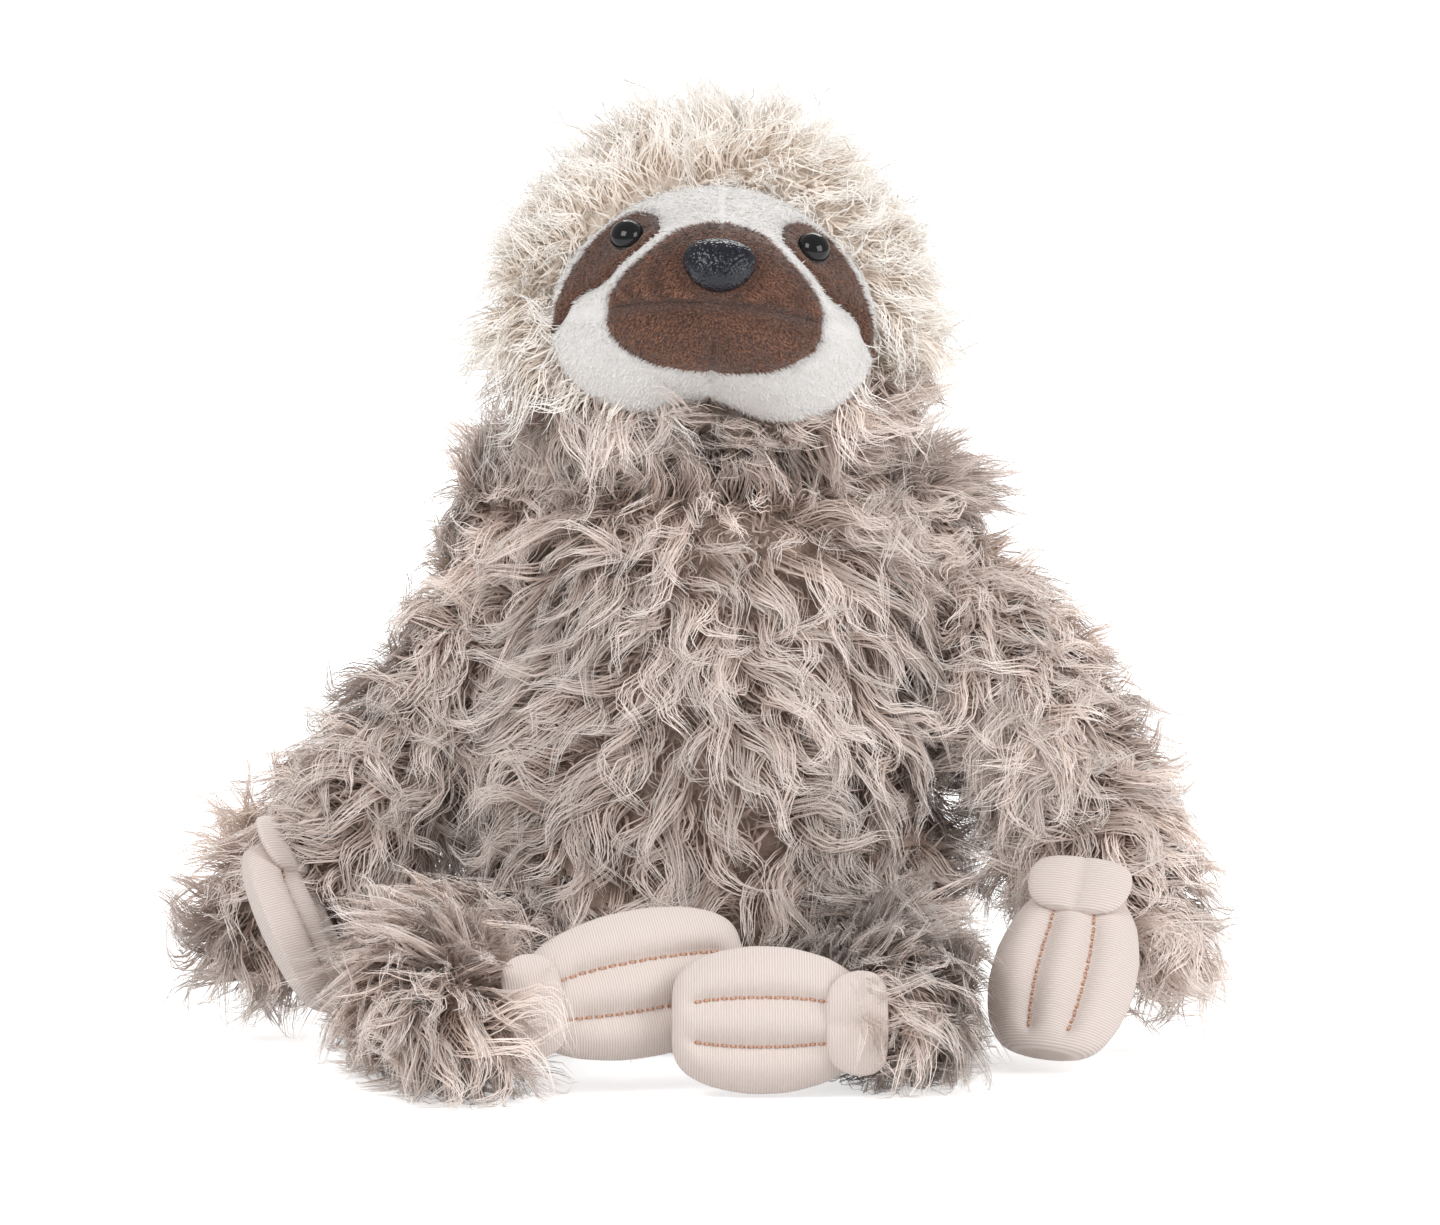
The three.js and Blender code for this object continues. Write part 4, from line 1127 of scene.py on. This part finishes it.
# %% Distance to an outline
def loop_distance(loop, x, z):
    """Signed distance to a closed outline seen square to the face: below zero inside."""
    start, end = loop, np.roll(loop, -1, 0)
    point = np.stack([x, z], 1)[:, None]
    span = end - start
    share = np.clip(((point - start) * span).sum(2) / np.maximum((span * span).sum(1), 1e-12), 0, 1)
    gap = np.linalg.norm(point - start - share[..., None] * span, axis=2).min(1)
    above = (start[:, 1] > point[..., 1]) != (end[:, 1] > point[..., 1])
    with np.errstate(divide="ignore", invalid="ignore"):
        cut = span[:, 0] * (point[..., 1] - start[:, 1]) / span[:, 1] + start[:, 0]
    inside = (above & (point[..., 0] < cut)).sum(1) % 2 == 1
    return np.where(inside, -gap, gap)


SEAM_LAP = 0.35 * MM


def face_gap(panel, bare):
    """Signed distance to a panel's outline in metres: below zero on the panel."""
    x, z = bare[:, 0], bare[:, 2]
    muzzle = loop_distance(muzzle_loop, x, z)
    mouth = z + MOUTH_DROP * MM
    patches = np.minimum(loop_distance(patch_loops[-1], x, z), loop_distance(patch_loops[1], x, z))
    patches = np.maximum(patches, 3 * MM - muzzle)
    if panel == "muzzle_upper":
        return np.maximum(muzzle, -mouth - SEAM_LAP)
    if panel == "muzzle_lower":
        return np.maximum(muzzle, mouth - SEAM_LAP)
    if panel == "left_eye_patch":
        return np.maximum(patches, -x)
    if panel == "right_eye_patch":
        return np.maximum(patches, x)
    return np.maximum.reduce([behind_rim(bare) - 2 * MM, -muzzle, -patches])


# %% [markdown]
# Each panel is a fine grid laid on the head form and trimmed to its outline, with its edge corners pulled
# onto the seam. At a seam the pile bends over into the stitches, so the panel sinks there into a soft
# valley. The mouth is a deeper crease, with a short seam under it.


# %% Places on the face's cloth
def mouth_valley(x, z):
    """The soft crease along the mouth and the short seam below it."""
    ends = np.clip((32 * MM - np.abs(x)) / (6 * MM), 0, 1)
    crease = 2.3 * MM * np.exp(-((z + MOUTH_DROP * MM) / (2.4 * MM)) ** 2) * ends
    low = (z < -26 * MM) & (z > -33 * MM)
    notch = 1.6 * MM * np.exp(-(x / (1.1 * MM)) ** 2) * low
    chin = 1.1 * MM * np.exp(-(x / (1.2 * MM)) ** 2) * (z < -34 * MM)
    return crease + notch + chin


def face_places(spot, raised):
    """Places on the cloth, raised off the bare form and sunk in the mouth."""
    way = face_ways(spot)
    bare = way * head_reach(way)[:, None]
    reach = head_reach(way) + 0.3 * MM - mouth_valley(bare[:, 0], bare[:, 2]) + raised
    return way * reach[:, None]


# %% A face panel
FACE_STEP, FACE_HALF = 0.0125, 1.72
PILE = 2.0 * MM
NUDGE = 1e-4


def pull_to_seam(panel, spot):
    """Moves the places that lie past a panel's outline back onto it, down the slope of their distance."""
    for _ in range(4):
        gap = face_gap(panel, bare_places(spot))
        over = gap > 0
        slope = np.stack([face_gap(panel, bare_places(spot + step)) - gap
                          for step in ((NUDGE, 0), (0, NUDGE))], 1) / NUDGE
        pull = slope * (gap / np.maximum((slope ** 2).sum(1), 1e-12))[:, None]
        length = np.linalg.norm(pull, axis=1, keepdims=True)
        pull *= np.minimum(1, FACE_STEP / np.maximum(length, 1e-9))
        spot[over] -= pull[over]
    return spot


def face_panel_piece(panel, material):
    """A grid in flat face coordinates, cut to the panel, pulled to its seams and laid on the head."""
    bm = bmesh.new()
    cells = int(2 * FACE_HALF / FACE_STEP)
    bmesh.ops.create_grid(bm, x_segments=cells, y_segments=cells, size=FACE_HALF)
    outside = face_gap(panel, bare_places(np.array([corner.co[:2] for corner in bm.verts]))) > 0
    doomed = [face for face in bm.faces if all(outside[corner.index] for corner in face.verts)]
    bmesh.ops.delete(bm, geom=doomed, context="FACES")
    spot = pull_to_seam(panel, np.array([corner.co[:2] for corner in bm.verts]))
    gap = np.minimum(face_gap(panel, bare_places(spot)), 0)
    raised = PILE * (1 - np.exp(gap / (1.1 * MM)))
    places = moved(face_places(spot, raised), HEAD_ARRAY)
    for corner, place in zip(bm.verts, places):
        corner.co = place
    bmesh.ops.recalc_face_normals(bm, faces=bm.faces)
    if sum(face.normal.y * face.calc_area() for face in bm.faces) > 0:
        bmesh.ops.reverse_faces(bm, faces=bm.faces)
    piece = piece_of(panel + "_cloth", bm, material)
    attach(piece, "head")
    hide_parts(panel)
    print(piece.name, len(piece.data.polygons), "faces")
    return piece


# %% [markdown]
# Short pile is a velvet of upright fibres: a speckle of lighter and darker tips with a soft sheen. On the
# brown pile the lighter specks, and the wide spread of its fibres' tones, are painted glints. The cloth
# under it gets that speckle as a pattern, and a thin coat of short ribbons, brushed down and outward, gives
# the edge and the catch of light that a pattern alone would miss.


# %% Pile materials
def pile_material(name, dark, middle_colour, light):
    """Short pile: a speckle of fibre tips, lighter and darker, with a soft sheen. The lighter specks are
    partly painted glints.
    """
    material = new_material(name, middle_colour, 0.85, Specular_IOR_Level=0.15, Sheen_Weight=0.35,
                            Sheen_Roughness=0.6)
    return grained(material, 1500.0, 3, 0.6 * MM, (0.33, dark), (0.5, middle_colour), (0.7, light))


cream_pile = pile_material("cream_pile", srgb(226, 223, 220), srgb(234, 231, 229), srgb(241, 239, 237))
brown_pile = pile_material("brown_pile", srgb(52, 31, 23), srgb(86, 53, 39), srgb(128, 90, 70))
cream_tips = fur_material("cream_tips", srgb(226, 222, 219), srgb(235, 232, 230), srgb(244, 242, 240),
                          dark=0.9, light=1.08)
# The brown fibres' tones spread wide, which paints glints on them.
brown_tips = fur_material("brown_tips", srgb(58, 35, 25), srgb(92, 57, 41), srgb(146, 104, 82),
                          dark=0.35, light=1.75)
print("pile", cream_pile.name, brown_pile.name)

# %% Fibres of short pile
EYE_CLEAR = 5.1 * MM
NOSE_CLEAR = (10.8, 7.8)


def pile_keep(points, normals):
    """No pile under the eyes and the nose."""
    local = moved(points, HEAD_BACK)
    x, z = local[:, 0], local[:, 2]
    eye = np.hypot(np.abs(x) - EYE_OUT * MM, z - EYE_RISE * MM)
    nose_gap = np.hypot(x / NOSE_CLEAR[0], (z + NOSE_DROP * MM) / NOSE_CLEAR[1])
    return (eye > EYE_CLEAR) & (nose_gap > MM)


def pile_fibres(name, skin, material, count, seed, length):
    """Short fibres all over a panel, brushed down and outward, and shortest in the crease of the mouth."""
    rng = np.random.default_rng(seed)
    points, normals = scatter(skin, count, rng, pile_keep)
    count = len(points)
    local = moved(points, HEAD_BACK)
    brushed = np.array([0, 0, -1.0]) + 0.8 * np.sign(local[:, :1]) * np.array([1.0, 0, 0])
    brushed = unit(brushed - normals * (brushed * normals).sum(1)[:, None])
    lean = unit(0.5 * normals + brushed * 0.8 + rng.normal(0, 0.25, normals.shape))
    crease = np.clip(np.abs(local[:, 2] + MOUTH_DROP * MM) / (2.2 * MM), 0.4, 1)
    long = length * rng.uniform(0.5, 1.15, count) * crease
    share = np.array([0, 0.5, 1.0])
    start = points - normals * 0.3 * MM
    fibre = start[:, None] + (lean * long[:, None])[:, None] * share[None, :, None]
    fibre[:, 1] += rng.normal(0, 0.12 * MM, (count, 3))
    wide = 0.3 * MM * rng.uniform(0.7, 1.3, count)
    patch = swirl(points, 7 * MM, seed + 1)[:, 0]
    tone = np.clip(0.5 + 0.13 * patch + rng.normal(0, 0.2, count), 0.02, 0.98)
    facing = unit(normals + rng.normal(0, 0.25, (count, 3)))
    piece = ribbon_mesh(name, fibre, facing, wide, tone, material)
    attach(piece, "head")
    print(name, count, "fibres")


# %% Face panels and their pile
# For each panel: its cloth, slot and fibres' colours, how many roots, and how long in millimetres.
PANELS = [("face_panel", cream_pile, "cream_pile", cream_tips, 13500, 1.7),
          ("muzzle_upper", brown_pile, "brown_pile", brown_tips, 6500, 2.0),
          ("muzzle_lower", brown_pile, "brown_pile", brown_tips, 4500, 2.0),
          ("left_eye_patch", brown_pile, "brown_pile", brown_tips, 3000, 1.7),
          ("right_eye_patch", brown_pile, "brown_pile", brown_tips, 3000, 1.7)]
for index, (panel, material, slot, tips, count, length) in enumerate(PANELS):
    cloth = face_panel_piece(panel, material)
    pile_fibres(panel + "_pile", cloth.data, tips, count, 90 + index, length * MM)

# %% [markdown]
# The eyes are moulded domes with a thin rim, on a ribbed post that a washer grips behind the cloth. One
# profile spun about the post's axis gives the whole part, and a full spin is merged where it closes.


# %% Profiles and posts
def spun(bm, profile, steps):
    """Spins a profile of (radius, along) about the Y axis into a closed skin."""
    corners = [bm.verts.new((radius, along, 0)) for radius, along in profile]
    edges = [bm.edges.new(pair) for pair in zip(corners[:-1], corners[1:])]
    bmesh.ops.spin(bm, geom=corners + edges, cent=(0, 0, 0), axis=(0, 1, 0), angle=2 * math.pi, steps=steps,
                   use_merge=True)
    bmesh.ops.remove_doubles(bm, verts=bm.verts, dist=1e-6)
    bmesh.ops.recalc_face_normals(bm, faces=bm.faces)


def post_profile():
    """The post from its foot at the flange, over its three ribs, to its rounded end, in metres."""
    rows = [(1.5, 0.0)]
    for rib in range(3):
        base = 3.2 + 2.4 * rib
        rows += [(1.5, base), (1.85, base + 0.35), (1.85, base + 0.9), (1.5, base + 1.3)]
    rows += [(1.5, 10.4), (1.1, 11.0), (0.0, 11.0)]
    return [(radius * MM, along * MM) for radius, along in rows]


def eye_profile():
    """The dome, its rim and the post behind it."""
    dome = [(4.55 * math.sin(t), -0.35 - 3.45 * math.cos(t)) for t in np.linspace(0, math.pi / 2, 18)]
    rim = [(4.62, -0.3), (4.78, -0.38), (4.86, -0.26), (4.86, -0.08), (4.75, 0.0)]
    return [(radius * MM, along * MM) for radius, along in dome + rim] + post_profile()


# %% Where a post stands
BESIDE = 2.3 * MM


def face_point(across, rise):
    """The place on the bare face seen square at this place, in head coordinates."""
    place = np.array([[across, -44 * MM, rise]])
    for _ in range(12):
        reach = head_reach(place / np.linalg.norm(place))[0]
        place[0, 1] = -math.sqrt(reach ** 2 - across ** 2 - rise ** 2)
    return Vector(place[0])


def post_frame(across, rise, forward_share, proud):
    """Where a post stands. Its outward way, -Y, is between the cloth's normal and straight ahead."""
    right = face_point(across + BESIDE, rise) - face_point(across - BESIDE, rise)
    top = face_point(across, rise + BESIDE) - face_point(across, rise - BESIDE)
    way = right.cross(top).normalized().lerp(Vector((0, -1, 0)), forward_share).normalized()
    turn = Vector((0, -1, 0)).rotation_difference(way).to_matrix().to_4x4()
    return HEAD_PLACE @ Matrix.Translation(face_point(across, rise) + way * proud) @ turn


# %% [markdown]
# Polished plastic is never equally smooth all over, and a fine waver in its roughness keeps a highlight
# from looking painted on. The eyes get a little of it under a thin clear coat.


# %% Safety eyes
def uneven_polish(material, scale, smoothest, roughest):
    """Lets a material's roughness waver with a fine grain."""
    tree = material.node_tree
    grain = grain_node(tree, scale)
    polish = add_node(tree, "ShaderNodeMapRange", {"To Min": smoothest, "To Max": roughest})
    wire(tree, (grain.outputs["Grain"], polish.inputs["Value"]),
         (polish.outputs["Result"], shader_of(material).inputs["Roughness"]))


black_gloss = new_material("black_gloss", (0.006, 0.006, 0.006), 0.06, Specular_IOR_Level=0.28,
                           Coat_Weight=0.15, Coat_Roughness=0.03)
uneven_polish(black_gloss, 700, 0.04, 0.1)

for side, name in ((1, "left_eye"), (-1, "right_eye")):
    bm = bmesh.new()
    spun(bm, eye_profile(), 48)
    place = post_frame(side * EYE_OUT * MM, EYE_RISE * MM, 0.5, 3.3 * MM)
    bmesh.ops.transform(bm, matrix=place, verts=bm.verts)
    eye = piece_of(name + "_dome", bm, black_gloss)
    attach(eye, "head")
    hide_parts(name)
    print(eye.name, len(eye.data.polygons), "faces")

# %% [markdown]
# The nose is one moulding too: a flat-backed pad, wider along its top and blunt in front, with a pebbled
# grain. A sphere is drawn out to that form, and the grain is a bump of small cells in its material, with
# painted highlight on the cells' tops and painted shade between them.

# %% Nose material
PEBBLE_SCALE, PEBBLE_DEPTH = 1050, 0.4 * MM
nose_plastic = new_material("nose_plastic", srgb(10, 11, 17), 0.2, Specular_IOR_Level=0.4)
nose_tree, nose_shader = nose_plastic.node_tree, shader_of(nose_plastic)
nose_where = add_node(nose_tree, "ShaderNodeTexCoord")
pebbles = add_node(nose_tree, "ShaderNodeTexVoronoi", {"Scale": PEBBLE_SCALE, "Smoothness": 0.4},
                   feature="SMOOTH_F1")
pebble_bump = add_node(nose_tree, "ShaderNodeBump", {"Distance": PEBBLE_DEPTH, "Strength": 0.8}, invert=True)
# The pebbles' raised tops are a paler blue-grey and the hollows between them darker: painted highlight and
# painted shade.
pebble_light_and_shade = colour_ramp(nose_tree, (0, srgb(30, 33, 46)), (1, srgb(10, 10, 15)))
wire(nose_tree, (nose_where.outputs["Object"], pebbles.inputs["Vector"]),
     (pebbles.outputs["Distance"], pebble_bump.inputs["Height"]),
     (pebbles.outputs["Distance"], pebble_light_and_shade.inputs["Fac"]),
     (pebble_light_and_shade.outputs["Color"], nose_shader.inputs["Base Color"]),
     (pebble_bump.outputs["Normal"], nose_shader.inputs["Normal"]))
print(nose_plastic.name, len(nose_tree.nodes), "nodes")


# %% Nose
def nose_shape(bm):
    """A sphere drawn out, in millimetres, to 10 aside, 7.75 up and down, 6.5 forward and 0.4 back."""
    bmesh.ops.create_uvsphere(bm, u_segments=72, v_segments=48, radius=1)
    for corner in bm.verts:
        x, y, z = corner.co
        flare = 1 + 0.14 * z + 0.2 * max(z, 0) ** 2
        deep = math.copysign(abs(y) ** 0.8, y) * (6.5 if y < 0 else 0.4)
        corner.co = (x * 10.0 * flare * MM, deep * MM, z * 7.75 * MM)


bm = bmesh.new()
nose_shape(bm)
post_bm = bmesh.new()
spun(post_bm, [(0.0, -1 * MM), (1.5 * MM, -1 * MM)] + post_profile(), 24)
post_mesh = bpy.data.meshes.new("nose_post")
post_bm.to_mesh(post_mesh)
post_bm.free()
bm.from_mesh(post_mesh)
bmesh.ops.transform(bm, matrix=post_frame(0, -NOSE_DROP * MM, 0, 3.2 * MM), verts=bm.verts)
nose = piece_of("nose_pad", bm, nose_plastic)
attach(nose, "head")
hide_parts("nose")
print(nose.name, len(nose.data.polygons), "faces")

# %% [markdown]
# The lock washers behind the cloth are plain white mouldings, out of sight until the head is opened. Their
# solids are good enough as they are, so they only get a material.

# %% Washers behind the cloth
washer_plastic = new_material("washer_plastic", srgb(232, 232, 230), 0.45)
uneven_polish(washer_plastic, 300, 0.35, 0.55)
for name in ("left_eye_washer", "right_eye_washer", "nose_washer"):
    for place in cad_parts[name].material_slots:
        place.material = washer_plastic
    print(name, "in", washer_plastic.name)

# %% [markdown]
# The claws are flat mitts of fine ribbed knit, sewn through along two lines so that the filling makes three
# rounded channels. A sphere is drawn along the mitt's line, its sections pinched at the two seams. The map
# "knit" holds lengths on the cloth, so that the ribs run across the mitt at their real pitch. A smaller pad
# of the same kind lies behind the claws on the palm's side.

# %% The form of a mitt
MITT_HALF, MITT_THICK, MITT_BLUNT = 20.5, 7.5, 0.42
MITT_WIDTHS = (0.78, 0.93, 1.0, 1.02, 1.0, 0.95)
SEAM_AT = 1 / 3
PAD_HALF, PAD_THICK = 15.5, 2.9


def smooth_step(value, low, high):
    t = np.clip((value - low) / (high - low), 0, 1)
    return t * t * (3 - 2 * t)


def mitt_half(along, across):
    """Half the width and half the thickness of a mitt, from root to tip, pinched along its two seams."""
    seam = smooth_step(along, 0.1, 0.3) - smooth_step(along, 0.84, 0.97)
    channel = 1 - (np.cos(1.5 * math.pi * across) ** 2 + 0.012) ** 0.31
    near_seam = np.exp(-((np.abs(across) - SEAM_AT) / 0.12) ** 2)
    pucker = 0.05 * np.sin(along * 84 + across * 2) * near_seam * seam
    thick = MITT_THICK * (1 - 0.64 * np.maximum(seam, 0) * channel + pucker)
    return MITT_HALF * share_at(MITT_WIDTHS, along) * MM, thick * MM


def pad_half(along, across):
    """The same for a pad, which has a shallow dent along its middle."""
    seam = np.abs(np.sin(math.pi * across / 1.25)) ** 0.6
    return (PAD_HALF - 1.5 * along) * MM, PAD_THICK * (0.55 + 0.45 * seam) * MM


# %% The cloth of a mitt
MAP_PER_METRE = 10


def mitt_place(axes, along, across, over, swell, half=mitt_half):
    """Places on a mitt: how far along its line, across it and out of the palm, as shares."""
    start, tip, side, palm = axes
    wide, thick = half(along, across)
    middle_line = start + (tip - start) * along[:, None]
    return middle_line + side * (across * wide * swell)[:, None] + palm * (over * thick * swell)[:, None]


def tube_piece(name, axes, material, half, around, rings):
    """A sphere drawn along a line, with lengths on the cloth in the map 'knit'."""
    bm = bmesh.new()
    bmesh.ops.create_uvsphere(bm, u_segments=around, v_segments=rings, radius=1)
    ball = np.array([corner.co[:] for corner in bm.verts])
    along = np.clip((1 - ball[:, 2]) / 2, 0, 1)
    ring = np.hypot(ball[:, 0], ball[:, 1])
    swell = np.where(ring < 1e-6, 0, ring ** MITT_BLUNT)
    across = np.where(ring > 1e-6, ball[:, 0] / np.maximum(ring, 1e-9), 0)
    over = np.where(ring > 1e-6, ball[:, 1] / np.maximum(ring, 1e-9), 0)
    places = mitt_place(axes, along, across, over, swell, half)
    start, _, side, palm = axes
    way = np.cross(side, palm)
    for corner, place in zip(bm.verts, places):
        corner.co = place
    bmesh.ops.recalc_face_normals(bm, faces=bm.faces)
    cloth_map = bm.loops.layers.uv.new("knit")
    lengths = np.stack([(places - start) @ side, (places - start) @ way], 1) * MAP_PER_METRE
    for face in bm.faces:
        for corner in face.loops:
            corner[cloth_map].uv = lengths[corner.vert.index]
    return piece_of(name, bm, material)


# %% [markdown]
# The knit has fine ribs 0.75 mm apart and a brushed, fuzzy face. A wave texture on the map gives the ribs,
# noise breaks them up, and both together shade the colour and feed a shallow bump. The thread is a warmer
# peach.

# %% Knit and thread materials
RIB_PITCH, CLOTH_UNIT, BANDS_PER_UNIT = 0.75, 100, 3.18
cream_knit = new_material("cream_knit", srgb(222, 210, 203), 0.88, Specular_IOR_Level=0.15, Sheen_Weight=0.3,
                          Sheen_Roughness=0.5)
knit_tree, knit_shader = cream_knit.node_tree, shader_of(cream_knit)
knit_map = add_node(knit_tree, "ShaderNodeUVMap", uv_map="knit")
ribs = add_node(knit_tree, "ShaderNodeTexWave", wave_type="BANDS", bands_direction="Y", inputs={
    "Scale": CLOTH_UNIT / RIB_PITCH / BANDS_PER_UNIT, "Distortion": 0.6, "Detail": 1.0})
fuzz = add_node(knit_tree, "ShaderNodeTexNoise", {"Scale": 220, "Detail": 4})
knit_mix = add_node(knit_tree, "ShaderNodeMath", {1: 0.6}, operation="MULTIPLY_ADD")
knit_half = add_node(knit_tree, "ShaderNodeMath", {1: 0.62}, operation="MULTIPLY")
knit_ramp = colour_ramp(knit_tree, (0.25, srgb(212, 197, 189)), (0.75, srgb(230, 219, 213)))
knit_bump = add_node(knit_tree, "ShaderNodeBump", {"Distance": 0.13 * MM})
wire(knit_tree, (knit_map.outputs["UV"], ribs.inputs["Vector"]),
     (knit_map.outputs["UV"], fuzz.inputs["Vector"]),
     (fuzz.outputs["Fac"], knit_mix.inputs[0]), (ribs.outputs["Fac"], knit_mix.inputs[2]),
     (knit_mix.outputs[0], knit_half.inputs[0]), (knit_half.outputs[0], knit_ramp.inputs["Fac"]),
     (knit_ramp.outputs["Color"], knit_shader.inputs["Base Color"]),
     (knit_half.outputs[0], knit_bump.inputs["Height"]),
     (knit_bump.outputs["Normal"], knit_shader.inputs["Normal"]))
peach_thread = cloth_material("peach_thread", srgb(236, 198, 174), 3000)
# The needle holes' darker colour is painted shade.
needle_hole_shade = cloth_material("needle_hole_shade", srgb(214, 150, 118), 3000)
print("knit", cream_knit.name, peach_thread.name, needle_hole_shade.name)

# %% [markdown]
# The two lines of each mitt are sewn with running stitches. Each stitch is a small stretched sphere that
# lies in its channel, and a darker bead at either end stands for the hole that the needle left: painted
# shade, as the hole is dark only for being a recess.

# %% Sewing on the mitts
STITCHES = 17
THREAD_THICK, HOLE_THICK = 0.42 * MM, 0.45 * MM
THREAD_PROUD = 0.4 * MM


def add_bead(bm, start, end, radius):
    """A rounded stitch from one place to another, with a few dozen faces."""
    middle_place = (Vector(start) + Vector(end)) / 2
    span = Vector(end) - Vector(start)
    turn = span.to_track_quat("Z", "Y").to_matrix().to_4x4()
    size = Matrix.Diagonal((radius, radius, span.length / 2 + radius * 0.5, 1))
    bmesh.ops.create_uvsphere(bm, u_segments=8, v_segments=6, radius=1,
                              matrix=Matrix.Translation(middle_place) @ turn @ size)


def sew_mitt(name, axes):
    """Two rows of running stitches on each face, with darker beads of painted shade for the holes the needle
    left.
    """
    thread, holes = bmesh.new(), bmesh.new()
    palm = axes[3]
    ends = np.linspace(0.13, 0.9, STITCHES * 2 + 1)
    swell = (2 * np.sqrt(ends * (1 - ends))) ** MITT_BLUNT
    for face in (1, -1):
        for row in (-1, 1):
            across = np.full(len(ends), row * SEAM_AT)
            over = np.full(len(ends), face * math.sqrt(1 - SEAM_AT ** 2))
            places = mitt_place(axes, ends, across, over, swell)
            places += palm * face * THREAD_PROUD
            for k in range(0, STITCHES * 2, 2):
                add_bead(thread, places[k], places[k + 1], THREAD_THICK)
                for place in (places[k], places[k + 1]):
                    spot = Matrix.Translation(Vector(place)) @ Matrix.Diagonal((HOLE_THICK,) * 3 + (1,))
                    bmesh.ops.create_icosphere(holes, subdivisions=1, radius=1, matrix=spot)
    for label, bm, material in (("thread", thread, peach_thread), ("holes", holes, needle_hole_shade)):
        piece = piece_of(f"{name}_{label}", bm, material)
        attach(piece, name)


# %% Mitts and pads
PAD_LONG, PAD_RAISED, PAD_BACK = 17 * MM, 6.5 * MM, 6 * MM
for name in MITTS:
    axes = mitt_axes(name)
    start, tip, side, palm = axes
    mitt = tube_piece(name + "_claws", axes, cream_knit, mitt_half, 104, 64)
    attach(mitt, name)
    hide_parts(name + "_mitt")
    sew_mitt(name, axes)
    way = unit(tip - start)
    root = start + palm * PAD_RAISED - way * PAD_BACK
    pad = tube_piece(name + "_palm", (root, root + way * PAD_LONG, side, palm), cream_knit, pad_half, 64, 40)
    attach(pad, name)
    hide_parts(name + "_pad")
    print(name, len(mitt.data.polygons), "and", len(pad.data.polygons), "faces")

# %% [markdown]
# Three pieces are out of sight: the flat seat panel, the pouch of beads over it that keeps the toy sitting,
# and the firm filling of the head. Each is its own solid in the frame, with an even skin drawn in a little
# so that it clears the cloth round it.

# %% Seat panel, bead pouch and head filling
# Node, piece, voxel and how far it is drawn in, both in millimetres, its body and its slot.
HIDDEN = [("seat_panel", "seat_cloth", 1.0, 0.4, "torso", "lining_cloth"),
          ("bean_bag", "bead_pouch", 2.0, 0.4, "torso", "lining_cloth"),
          ("head_stuffing", "head_filling", 2.5, 3.2, "head", "fibre_filling")]
lining = cloth_material("lining", srgb(216, 206, 196), 1600)
for name, label, voxel, depth, body, slot in HIDDEN:
    mesh = remeshed(label, merged_copy(name), voxel * MM, 2)
    clothed(mesh, lining)
    inner = link(bpy.data.objects.new(label, shrink(mesh, depth * MM)))
    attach(inner, body)
    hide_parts(name)
    print(label, len(mesh.polygons), "faces")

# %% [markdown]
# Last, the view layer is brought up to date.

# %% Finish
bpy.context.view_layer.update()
